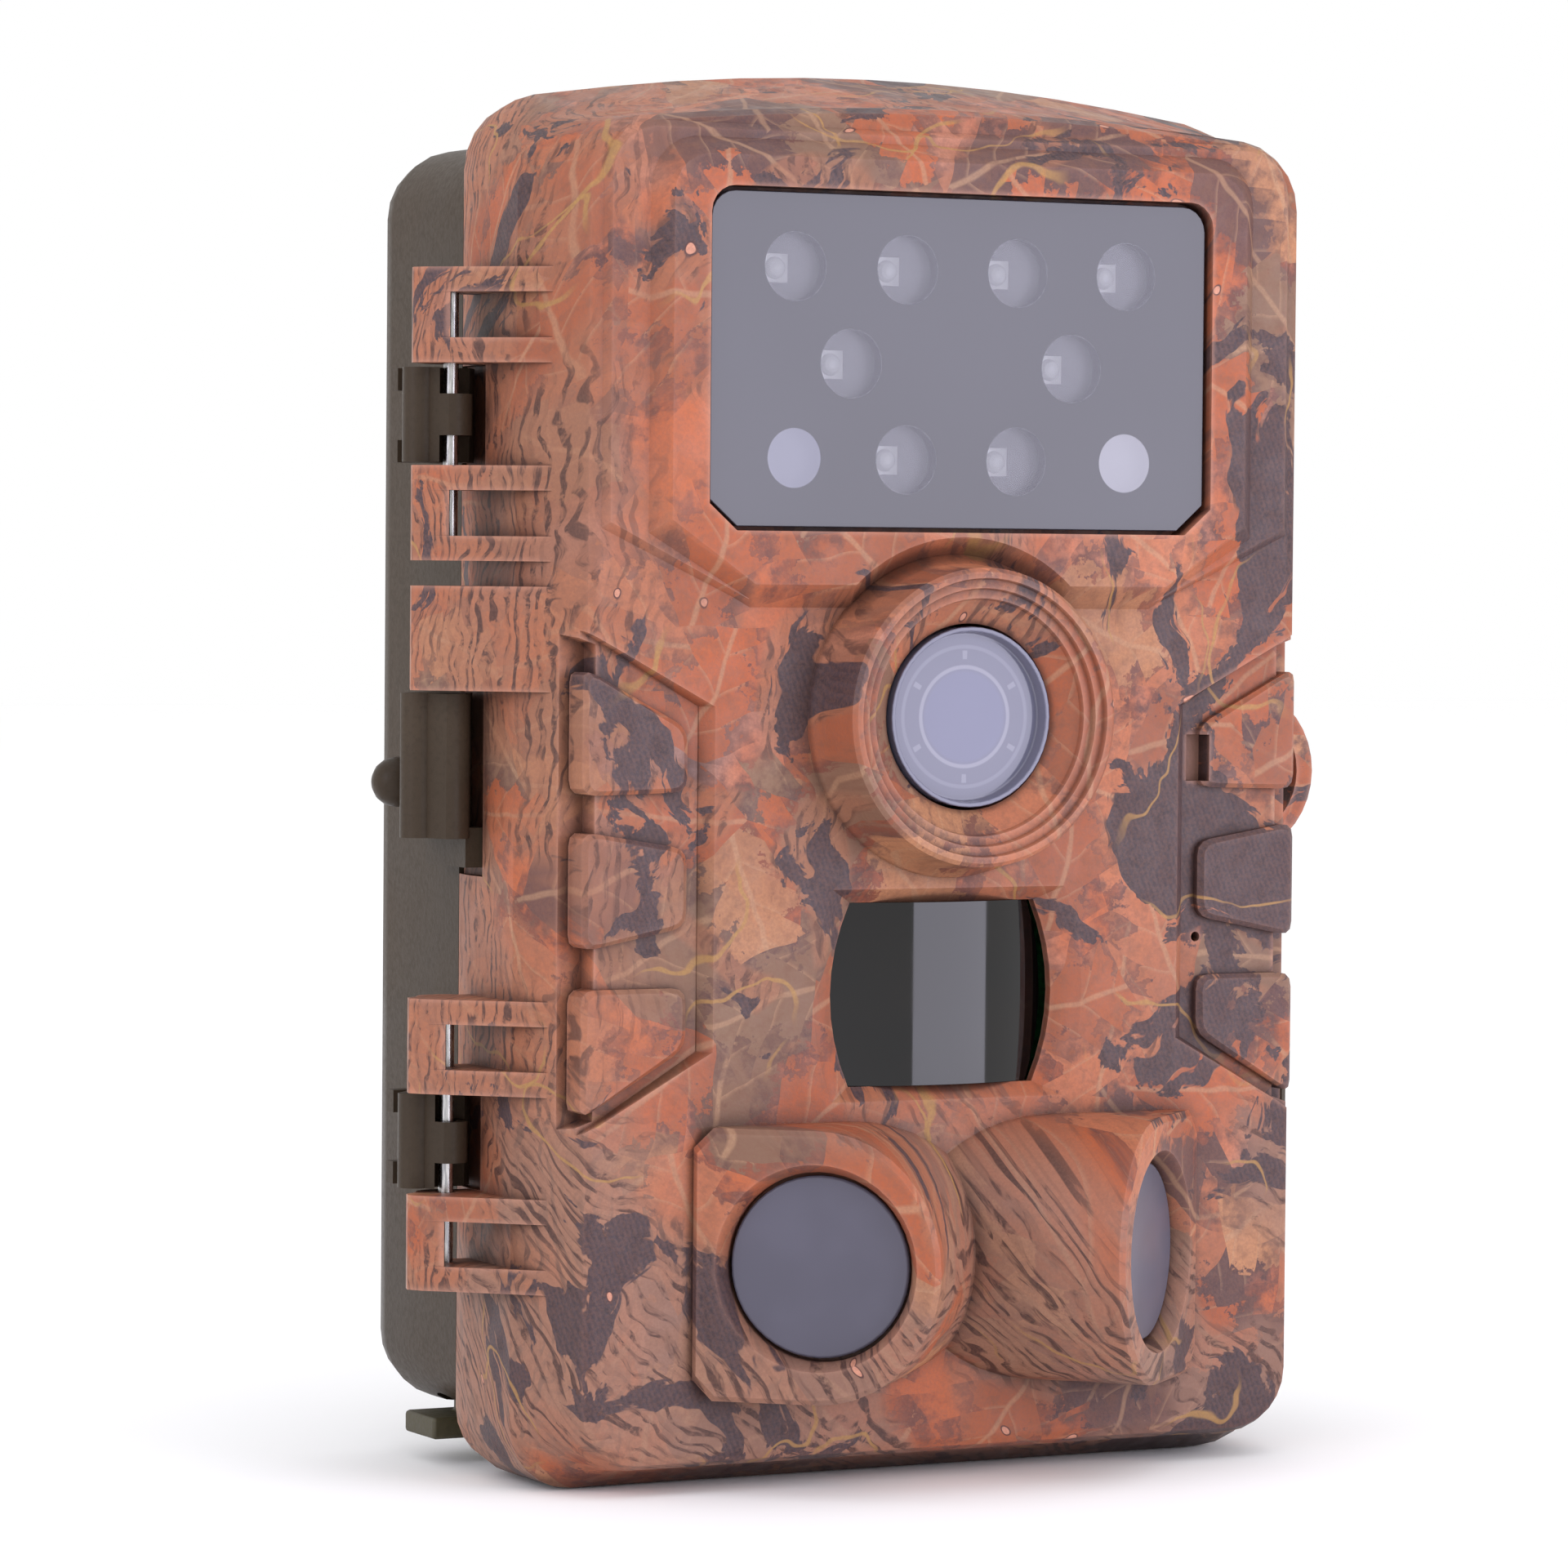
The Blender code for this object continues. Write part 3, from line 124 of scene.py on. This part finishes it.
def camouflage_film():
    """Water-transfer film over moulded ABS: a satin print of leaves, bark and twigs, with blisters."""
    made, node, shader = new_material("camouflage_film_on_ABS", IOR=1.5, Specular_IOR_Level=0.25)
    spot = node("Mapping", node("TexCoord").outputs["Object"], None, None, TO_MM)
    x, y, z = node("SeparateXYZ", spot).outputs

    # The print is wrapped round the door, so on the sides it runs on by the depth.
    face_mm, side_mm, middle_mm = 13.0, 44.0, 70.0
    back = node("Math", y, face_mm, operation="ADD")
    stretch = node("MapRange", back, 0.0, side_mm, 1.0, 1.9, **SMOOTH)
    across = node("Math", x, stretch, operation="MULTIPLY")
    lift = node("Math", node("Math", z, middle_mm, operation="SUBTRACT"), 1 / middle_mm, operation="MULTIPLY")
    upward = node("Math", lift, back, z, operation="MULTIPLY_ADD")
    flat = node("CombineXYZ", across, upward)
    wobble = node("TexNoise", flat, 0.06, 3.0, 0.55)
    moved = node("VectorMath", wobble.outputs["Color"], (0.5, 0.5, 0.5), operation="SUBTRACT")
    warped = node("VectorMath", moved, (13, 13, 13), flat, operation="MULTIPLY_ADD")
    eased = node("VectorMath", moved, (5, 5, 5), flat, operation="MULTIPLY_ADD")
    rough = node("TexNoise", flat, 0.6, 4.0, 0.65)

    # Ground: rust, salmon and dusty tan clouds.
    cloud = node("MapRange", node("TexNoise", warped, 0.05, 4.0), 0.42, 0.6, **SMOOTH)
    ground = node("Mix", cloud, "#b4623f", "#b57a64", **COLOUR)
    cloud = node("MapRange", node("TexNoise", warped, 0.075, 5.0, 0.6), 0.48, 0.62, **SMOOTH)
    ground = node("Mix", cloud, ground, "#955f48", **COLOUR)
    cloud = node("MapRange", node("TexNoise", warped, 0.034, 3.0, 0.5), 0.5, 0.66, **SMOOTH)
    ground = node("Mix", cloud, ground, "#7d6664", **COLOUR)

    # Leaves: each cell of a pattern holds one, turned its own way, with veins and a ragged edge.
    for size, length, width, offset, strength in (
            (0.034, 24.0, 9.5, 0.0, 0.95), (0.05, 16.0, 6.5, 37.0, 0.9), (0.075, 10.0, 4.2, 71.0, 0.8)):
        shifted = node("VectorMath", eased, (offset, offset * 0.6, 0), operation="ADD")
        cells = node("TexVoronoi", shifted, size, **FLAT)
        local = node("VectorMath", shifted, cells.outputs["Position"], operation="SUBTRACT")
        chance = node("SeparateColor", cells.outputs["Color"])
        turn = node("Math", chance.outputs[0], WHOLE_TURN, operation="MULTIPLY")
        turned = node("VectorRotate", local, None, turn, rotation_type="Z_AXIS")
        along, aside, _ = node("SeparateXYZ", turned).outputs
        side = node("Math", aside, operation="ABSOLUTE")
        ratio = node("Math", along, length, operation="DIVIDE")
        squared = node("Math", ratio, ratio, operation="MULTIPLY")
        taper = node("Math", squared, -width, width, operation="MULTIPLY_ADD")
        fan = node("Math", side, 0.9, along, operation="MULTIPLY_ADD")
        teeth = node("Math", node("Math", fan, TOOTH_PITCH_MM, operation="DIVIDE"), operation="FRACT")
        lobed = node("Math", teeth, 2.2, taper, operation="MULTIPLY_ADD")
        bitten = node("Math", rough, 0.52, operation="SUBTRACT")
        ragged = node("Math", bitten, 8.0, lobed, operation="MULTIPLY_ADD")
        edge = node("Math", ragged, side, operation="SUBTRACT")
        leaf = node("MapRange", edge, 1.0, 1.5, 0.0, strength, **SMOOTH)
        shade = node("ValToRGB", chance.outputs[1])
        ramp = shade.color_ramp
        ramp.interpolation = "CONSTANT"
        for place, colour in ((0.0, "#bb6038"), (0.22, "#c27552"), (0.4, "#bd8560"), (0.53, "#544042"),
                              (0.66, "#ad5f3e"), (0.82, "#876a56")):
            element = ramp.elements.new(place) if place else ramp.elements[0]
            element.color = linear(colour)
        ramp.elements.remove(ramp.elements[-1])
        vein = node("MapRange", teeth, 0.0, 0.14, 0.35, 0.0, **SMOOTH)
        rib = node("MapRange", side, 0.12, 0.4, 0.5, 0.0, **SMOOTH)
        lines = node("Math", vein, rib, operation="MAXIMUM")
        fade = node("MapRange", along, -length, length, 0.0, 0.4, **SMOOTH)
        tinted = node("Mix", fade, shade, "#6b4a3e", **COLOUR)
        mottle = node("MapRange", rough, 0.45, 0.7, 0.0, 0.45, **SMOOTH)
        tinted = node("Mix", mottle, tinted, "#74503f", **COLOUR)
        tinted = node("Mix", lines, tinted, "#bb9474", **COLOUR)
        under = node("MapRange", edge, -1.6, 1.2, 0.0, 0.6, **SMOOTH)
        ground = node("Mix", under, ground, "#51393a", **COLOUR)
        ground = node("Mix", leaf, ground, tinted, **COLOUR)

    # Bark: dark cracks that run up the left shoulder, and wood grain that flows round the lower third.
    # Real grain is 0.5 to 1 mm apart; here it is wider, so that it still reads from a step away.
    for tilt, slow, shoulder in ((0.08, 0.2, True), (-0.95, 0.15, False)):
        turned = node("VectorRotate", warped, None, tilt, rotation_type="Z_AXIS")
        squeezed = node("Mapping", turned, None, None, (1, slow, 1))
        wave = node("TexWave", squeezed, WAVE_LENGTH / BARK_PITCH_MM, 9.0, 4.0, 1.1 / BARK_PITCH_MM, 0.72,
                    wave_type="BANDS", bands_direction="X").outputs["Fac"]
        crack = node("Mapping", turned, None, None, (0.5, 0.06, 1))
        gate = node("MapRange", node("TexNoise", crack, 1.3, 4.0, 0.7), 0.44, 0.58, 0.15, 1.0, **SMOOTH)
        streak = node("MapRange", wave, 0.5, 0.75, **SMOOTH)
        streak = node("Math", streak, gate, operation="MULTIPLY")
        if shoulder:
            place = node("MapRange", across, -44.0, -27.0, 1.0, 0.0, **SMOOTH)
            gaps = node("MapRange", node("TexNoise", flat, 0.04, 2.0), 0.4, 0.5, **SMOOTH)
        else:
            place = node("MapRange", z, 30.0, 44.0, 1.0, 0.0, **SMOOTH)
            gaps = node("MapRange", node("TexNoise", flat, 0.045, 2.0), 0.42, 0.5, **SMOOTH)
        place = node("Math", place, gaps, operation="MULTIPLY")
        if shoulder:
            more = node("TexNoise", flat, 0.05, 2.0, 0.5, None, 1.0)
            more = node("MapRange", more, 0.55, 0.6, 0.0, 0.8, **SMOOTH)
            place = node("Math", place, more, operation="MAXIMUM")
        base = node("Math", place, 0.7, operation="MULTIPLY")
        ground = node("Mix", base, ground, "#a06a50" if shoulder else "#94705f", **COLOUR)
        lines = node("Math", node("Math", streak, place, operation="MULTIPLY"), 0.9, operation="MULTIPLY")
        ground = node("Mix", lines, ground, "#3f2c2a", **COLOUR)

    # Shadow shapes between the leaves: dusky purple grey, ragged at the edge, with fine slanted lines.
    field = node("TexNoise", warped, 0.05, 6.0, 0.6, None, 0.9)
    right_side = node("MapRange", across, 0.0, 34.0, -0.015, 0.055, **SMOOTH)
    field = node("Math", field, right_side, operation="ADD")
    dark = node("MapRange", field, 0.57, 0.58, **SMOOTH)
    ruled = node("Math", upward, 0.4, across, operation="MULTIPLY_ADD")
    hatch = node("Math", node("Math", ruled, 1.6, operation="MULTIPLY"), operation="FRACT")
    hatch = node("MapRange", hatch, 0.3, 0.7, 0.0, 0.35, **SMOOTH)
    inside = node("Mix", hatch, "#42363a", "#55464b", **COLOUR)
    deep = node("MapRange", rough, 0.5, 0.66, 0.0, 0.55, **SMOOTH)
    inside = node("Mix", deep, inside, "#33282b", **COLOUR)
    ground = node("Mix", dark, ground, inside, **COLOUR)

    # Ochre twigs, thin and branching.
    for scale, level in ((0.026, 0.5), (0.034, 0.46)):
        course = node("TexNoise", warped, scale, 1.5, 0.4)
        away = node("Math", course, level, operation="SUBTRACT")
        away = node("Math", away, operation="ABSOLUTE")
        twig = node("MapRange", away, 0.0015, 0.004, 0.8, 0.0, **SMOOTH)
        broken = node("MapRange", node("TexNoise", flat, 0.05, 2.0), 0.5, 0.57, **SMOOTH)
        twig = node("Math", twig, broken, operation="MULTIPLY")
        ground = node("Mix", twig, ground, "#a67f4c", **COLOUR)

    # Small blisters that show the salmon base coat inside a dark outline.
    chips = node("TexVoronoi", warped, 0.15, **FLAT)
    chosen = node("MapRange", node("SeparateColor", chips.outputs["Color"]).outputs[2], 0.93, 0.94)
    outer = node("MapRange", chips.outputs["Distance"], 0.075, 0.10, 1.0, 0.0, **SMOOTH)
    outer = node("Math", outer, chosen, operation="MULTIPLY")
    inner = node("MapRange", chips.outputs["Distance"], 0.055, 0.07, 1.0, 0.0, **SMOOTH)
    inner = node("Math", inner, chosen, operation="MULTIPLY")
    ground = node("Mix", outer, ground, "#4a3030", **COLOUR)
    ground = node("Mix", inner, ground, "#c98d76", **COLOUR)

    # Printed dots and the moulded grain below, both finer than a millimetre.
    dots = node("TexNoise", spot, 3.0, 3.0, 0.7)
    speckle = node("MapRange", dots, 0.35, 0.65, 0.0, 0.3, **SMOOTH)
    ground = node("Mix", speckle, ground, "#7a5548", **COLOUR)

    # Painted shade darkens the film in creases, and a painted highlight lightens it along ridges.
    painted_crease_shade = node("AmbientOcclusion", "#ffffff", 2.2 * MM, samples=6).outputs["AO"]
    painted_crease_shade = node("MapRange", painted_crease_shade, 0.45, 0.95, 0.65, 0.0, **SMOOTH)
    ground = node("Mix", painted_crease_shade, ground, "#3b2723", **COLOUR)
    # Painted highlight: convex edges are mixed towards a pale salmon.
    painted_edge_highlight = node("AmbientOcclusion", "#ffffff", 0.7 * MM, samples=6, inside=True).outputs["AO"]
    painted_edge_highlight = node("MapRange", painted_edge_highlight, 0.5, 0.95, 0.35, 0.0, **SMOOTH)
    ground = node("Mix", painted_edge_highlight, ground, "#c08d79", **COLOUR)
    wear = node("MapRange", node("TexNoise", spot, 0.4, 3.0), 0.3, 0.7, 0.40, 0.55, **SMOOTH)
    blister = node("Math", inner, 0.4, dots, operation="MULTIPLY_ADD")
    relief = node("Bump", 0.6, 0.05 * MM, None, blister)
    wire(made, shader, Base_Color=ground, Roughness=wear, Normal=relief)
    return made


def olive_abs():
    """Olive ABS from a spark-eroded mould: a low even sheen over a fine grain, rubbed in broad patches."""
    made, node, shader = new_material("olive_ABS", IOR=1.54, Specular_IOR_Level=0.12)
    spot = node("Mapping", node("TexCoord").outputs["Object"], None, None, TO_MM)
    grain = node("TexNoise", spot, 1.8, 4.0, 0.6)
    broad = node("MapRange", node("TexNoise", spot, 0.05, 3.0), 0.3, 0.7, **SMOOTH)
    tone = node("Mix", broad, "#3b3127", "#44392e", **COLOUR)
    fleck = node("MapRange", grain, 0.45, 0.7, 0.0, 0.35, **SMOOTH)
    tone = node("Mix", fleck, tone, "#332b22", **COLOUR)
    rubbed = node("Math", broad, 0.5, grain, operation="MULTIPLY_ADD")
    sheen = node("MapRange", rubbed, 0.4, 1.1, 0.36, 0.5, **SMOOTH)
    relief = node("Bump", 0.7, 0.05 * MM, None, grain)
    wire(made, shader, Base_Color=tone, Roughness=sheen, Normal=relief)
    return made


def moulded(name, dark, light, roughness):
    """A moulded plastic or rubber with a fine grain and slightly uneven sheen."""
    made, node, shader = new_material(name)
    spot = node("Mapping", node("TexCoord").outputs["Object"], None, None, TO_MM)
    grain = node("TexNoise", spot, 1 / MOULD_GRAIN_MM, 3.0)
    tone = node("Mix", node("MapRange", grain, 0.3, 0.7, **SMOOTH), dark, light, **COLOUR)
    sheen = node("MapRange", grain, 0.3, 0.7, roughness - 0.06, roughness + 0.06, **SMOOTH)
    relief = node("Bump", 1.0, 0.03 * MM, None, grain)
    wire(made, shader, Base_Color=tone, Roughness=sheen, Normal=relief)
    return made


def drawn_metal(name, dark, light, roughness):
    """Drawn or turned metal: bright, with faint lines along its length."""
    made, node, shader = new_material(name, Metallic=1.0)
    spot = node("Mapping", node("TexCoord").outputs["Object"], None, None, (3000, 3000, 250))
    lines = node("TexNoise", spot, 2.0, 3.0)
    tone = node("Mix", node("MapRange", lines, 0.3, 0.7, **SMOOTH), dark, light, **COLOUR)
    sheen = node("MapRange", lines, 0.3, 0.7, roughness - 0.07, roughness + 0.07, **SMOOTH)
    wire(made, shader, Base_Color=tone, Roughness=sheen)
    return made


def lamp_pane():
    """Acrylic printed violet grey on its back, with a milky, half clear gap in the print over each lamp."""
    made, node, shader = new_material("printed_acrylic_lamp_pane", IOR=1.49, Roughness=0.05)
    spot = node("Mapping", node("TexCoord").outputs["Object"], None, None, TO_MM)
    uneven = node("MapRange", node("TexNoise", spot, 0.03, 2.0), 0.3, 0.7, **SMOOTH)
    colour = node("Mix", uneven, "#393840", "#3d3c45", **COLOUR)
    clear = None
    lamps = [name for name in sorted(NODES) if name.startswith("ir_led_")] + ["light_sensor", "indicator_led"]
    for lamp in lamps:
        low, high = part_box(lamp)
        centre = [(low[i] + high[i]) / 2 / MM for i in range(3)]
        infrared = lamp.startswith("ir_led_")
        radius = LAMP_DISC_MM if infrared else SENSOR_DISC_MM
        offset = node("VectorMath", spot, (centre[0], 0, centre[2]), operation="SUBTRACT")
        level = node("VectorMath", offset, (1, 0, 1), operation="MULTIPLY")
        away = node("VectorMath", level, operation="LENGTH").outputs["Value"]
        disc = node("MapRange", away, radius - 0.06, radius + 0.06, 1.0, 0.0, **SMOOTH)
        colour = node("Mix", disc, colour, "#a3a2ae" if lamp != "light_sensor" else "#8f8fa0", **COLOUR)
        hazy = node("Math", disc, 0.68 if infrared else 0.3, operation="MULTIPLY")
        clear = hazy if clear is None else node("Math", clear, hazy, operation="MAXIMUM")
    wire(made, shader, Base_Color=colour, Alpha=node("Math", 1.0, clear, operation="SUBTRACT"))
    return made


def lens_face():
    """Coated acrylic lens cover: violet grey, with faint rings round its middle and six small notches."""
    made, node, shader = new_material("coated_acrylic_lens_cover", IOR=1.49, Roughness=0.06)
    spot = node("Mapping", node("TexCoord").outputs["Object"], None, None, TO_MM)
    low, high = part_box("lens_cover")
    offset = node("VectorMath", spot, (0, 0, (low[2] + high[2]) / 2 / MM), operation="SUBTRACT")
    level = node("VectorMath", offset, (1, 0, 1), operation="MULTIPLY")
    away = node("VectorMath", level, operation="LENGTH").outputs["Value"]
    colour = node("Mix", node("MapRange", away, 4.2, 5.0, **SMOOTH), "#696a84", "#66667a", **COLOUR)
    for radius, strength in ((4.9, 0.5), (6.9, 0.22), (8.3, 0.2)):
        gap = node("Math", node("Math", away, radius, operation="SUBTRACT"), operation="ABSOLUTE")
        ring = node("MapRange", gap, 0.10, 0.28, strength, 0.0, **SMOOTH)
        colour = node("Mix", ring, colour, "#9a99a8", **COLOUR)
    across, _, rise = node("SeparateXYZ", level).outputs
    turn = node("Math", rise, across, operation="ARCTAN2")
    sixth = node("Math", node("Math", turn, 6 / math.tau, operation="MULTIPLY"), operation="FRACT")
    near = node("Math", sixth, 0.5, operation="SUBTRACT")
    near = node("Math", near, operation="ABSOLUTE")
    near = node("MapRange", near, 0.03, 0.05, 1.0, 0.0, **SMOOTH)
    belt = node("Math", away, 6.1, operation="SUBTRACT")
    belt = node("Math", belt, operation="ABSOLUTE")
    belt = node("MapRange", belt, 0.35, 0.5, 0.5, 0.0, **SMOOTH)
    notches = node("Math", near, belt, operation="MULTIPLY")
    colour = node("Mix", notches, colour, "#8f8e9d", **COLOUR)
    wire(made, shader, Base_Color=colour)
    return made


def tinted_window(name, dark, light, roughness, **more):
    """Moulded polyethylene window: deep even colour under a clean reflection, faintly uneven in its sheen."""
    made, node, shader = new_material(name, **more)
    spot = node("Mapping", node("TexCoord").outputs["Object"], None, None, TO_MM)
    slow = node("MapRange", node("TexNoise", spot, 0.12, 2.0), 0.3, 0.7, **SMOOTH)
    sheen = node("MapRange", slow, 0.0, 1.0, roughness, roughness + 0.03)
    wire(made, shader, Base_Color=node("Mix", slow, dark, light, **COLOUR), Roughness=sheen)
    return made


camo = camouflage_film()
olive = olive_abs()
pane = lamp_pane()
lens_glass = lens_face()
# Each of these says after it what it gives the eye.
soft_olive = moulded("olive_TPE", "#3f3926", "#47412c", 0.55)  # soft and matt, a shade greener than the case
steel = drawn_metal("stainless_steel_pin", "#8f8e90", "#d2d0cd", 0.25)  # bright, lined along its length
brass = drawn_metal("turned_brass", "#8a6a33", "#c09a55", 0.3)  # warm yellow, half bright
nickel = drawn_metal("nickel_plate", "#8f8b84", "#c9c4ba", 0.28)  # pale and clean
dark_glass = tinted_window("black_polyethylene_window", "#060506", "#0b0706", 0.04,  # near black, sharp bands
                           IOR=1.51, Specular_IOR_Level=0.42)
side_glass = tinted_window("smoked_polyethylene_window", "#54525f", "#595765", 0.2,  # violet grey, soft shine
                           IOR=1.51, Specular_IOR_Level=0.3)
black_abs = moulded("black_ABS", "#121214", "#1b1b1e", 0.5)  # dark and even
black_rubber = moulded("black_silicone", "#1a1a1b", "#232324", 0.65)  # dull, with no highlight
board_green = moulded("green_solder_mask", "#0d3d20", "#155a30", 0.35)  # deep green under a thin shine
board_grey = moulded("grey_solder_mask", "#6a6872", "#73717b", 0.4)  # the grey seen through the milky discs
clear_lamp = moulded("clear_epoxy", "#eeeff4", "#fbfbfd", 0.12)  # pale and shiny
cell_sleeve = moulded("printed_PVC_sleeve", "#1d3350", "#24405f", 0.3)  # blue, shiny round the cell
red_knob = moulded("red_ABS", "#a11f18", "#b92a20", 0.4)  # the one red piece, so the switch is found

FINISH = {
    "camo_plastic": camo,
    "olive_plastic": olive,
    "olive_rubber": soft_olive,
    "steel": steel,
    "brass": brass,
    "window_plastic": side_glass,
    "black_gloss": dark_glass,
    "black_plastic": black_abs,
    "board": board_green,
    "lamp": clear_lamp,
    "sensor_can": nickel,
    "rubber": black_rubber,
    "cell": cell_sleeve,
    "switch_knob": red_knob,
}
SPECIAL = {"led_window": pane, "lens_cover": lens_glass, "led_board": board_grey}

for entry in frame["record"]["subparts"]:
    shape = NODES[entry["node"]]
    shape.data.materials.clear()
    shape.data.materials.append(SPECIAL.get(entry["node"], FINISH[entry["material_slot"]]))


# ---------------------------------------------------------------- finer shapes

def softened(node, width_mm):
    """Puts a merged copy in place of a node, with its sharp edges rounded and its curves shaded smooth."""
    source = NODES[node]
    body = next(name for name, nodes in frame["record"]["behaviour"]["bodies"].items() if node in nodes)
    piece = bpy.data.objects.new(node + "_finished", source.data.copy())
    bpy.context.scene.collection.objects.link(piece)
    bpy.ops.object.select_all(action="DESELECT")
    piece.select_set(True)
    bpy.context.view_layer.objects.active = piece
    bpy.ops.object.mode_set(mode="EDIT")
    bpy.ops.mesh.select_all(action="SELECT")
    bpy.ops.mesh.remove_doubles(threshold=2e-6)
    bpy.ops.mesh.dissolve_limited(angle_limit=math.radians(1.0))
    bpy.ops.object.mode_set(mode="OBJECT")
    edge = piece.modifiers.new("edge", "BEVEL")
    edge.width = width_mm * MM
    edge.segments = 2
    edge.limit_method = "ANGLE"
    edge.angle_limit = math.radians(32)
    edge.use_clamp_overlap = True
    bpy.ops.object.modifier_apply(modifier=edge.name)
    bpy.ops.object.shade_smooth_by_angle(angle=math.radians(38))
    even = piece.modifiers.new("even", "WEIGHTED_NORMAL")
    even.keep_sharp = True
    even.weight = 90
    bpy.ops.object.modifier_apply(modifier=even.name)
    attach(piece, body)
    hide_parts(node)


# ---------------------------------------------------------------- floor, light and camera

def studio():
    """White paper under a white sky, with a softbox at the front right, one at the left and one above."""
    floor_gap = 0.2 * MM
    bpy.context.scene.view_settings.view_transform = "Standard"
    bpy.ops.mesh.primitive_plane_add(size=6, location=(0, 0, cad_box[0][2] - floor_gap))
    floor = bpy.context.object
    floor.name = "floor"
    white, _, shader = new_material("matt_white_paper", Roughness=0.9)
    shader.inputs["Base Color"].default_value = linear("#ffffff")
    floor.data.materials.append(white)

    world = bpy.data.worlds.new("studio")
    bpy.context.scene.world = world
    world.use_nodes = True
    sky = world.node_tree.nodes["Background"]
    sky.inputs["Color"].default_value = linear("#ffffff")
    sky.inputs["Strength"].default_value = 1.0

    aim = Vector((0, 0, 0.12))
    for name, azimuth, elevation, distance, width, height, power in (
            ("softbox_front", 30, 0, 0.4, 0.27, 0.235, 0.82),
            ("softbox_left", -75, 20, 1.0, 0.5, 0.7, 3.0),
            ("softbox_top", 0, 75, 1.0, 0.9, 0.9, 1.5)):
        a, e = math.radians(azimuth), math.radians(elevation)
        way = Vector((math.sin(a) * math.cos(e), -math.cos(a) * math.cos(e), math.sin(e)))
        lamp = bpy.data.lights.new(name, "AREA")
        lamp.shape = "RECTANGLE"
        lamp.size = width
        lamp.size_y = height
        lamp.energy = power
        lamp.color = (0.86, 0.84, 1.0)
        box = bpy.data.objects.new(name, lamp)
        box.location = aim + way * distance
        box.rotation_euler = way.to_track_quat("Z", "Y").to_euler()
        box.visible_camera = False
        bpy.context.scene.collection.objects.link(box)


def camera():
    """A long lens from the front left of the object, just above its middle."""
    azimuth, elevation, roll = math.radians(-27.55), math.radians(2.04), math.radians(0.49)
    aim = Vector((-0.01946, -0.015, 0.0691))
    distance = 0.6141
    back = Vector((math.sin(azimuth) * math.cos(elevation), -math.cos(azimuth) * math.cos(elevation),
                   math.sin(elevation)))
    level = Vector((0, 0, 1)).cross(back).normalized()
    rise = back.cross(level)
    right = level * math.cos(roll) + rise * math.sin(roll)
    up = rise * math.cos(roll) - level * math.sin(roll)
    lens = bpy.data.cameras.new("view")
    lens.lens = 144.9
    lens.sensor_width = 36
    eye = bpy.data.objects.new("view", lens)
    turn = Matrix((right, up, back)).transposed().to_4x4()
    eye.matrix_world = Matrix.Translation(aim + back * distance) @ turn
    bpy.context.scene.collection.objects.link(eye)
    bpy.context.scene.camera = eye


EDGES_MM = {
    "front_housing": 0.35, "rear_housing": 0.3, "tree_bracket": 0.35, "upper_latch": 0.3, "lower_latch": 0.3,
    "port_plug": 0.5, "led_window": 0.12, "lens_cover": 0.12, "center_sensor_window": 0.05,
    "left_sensor_window": 0.1, "right_sensor_window": 0.1, "upper_hinge_pin": 0.08, "lower_hinge_pin": 0.08,
    "upper_latch_pin": 0.1, "lower_latch_pin": 0.1, "tripod_insert": 0.15, "inner_cover": 0.25,
    "power_switch": 0.2, "button_up": 0.2, "button_down": 0.2, "button_menu": 0.2, "button_ok": 0.2,
    "battery_tray": 0.2, "display": 0.2,
}

camera()
for name, width_mm in EDGES_MM.items():
    softened(name, width_mm)
studio()
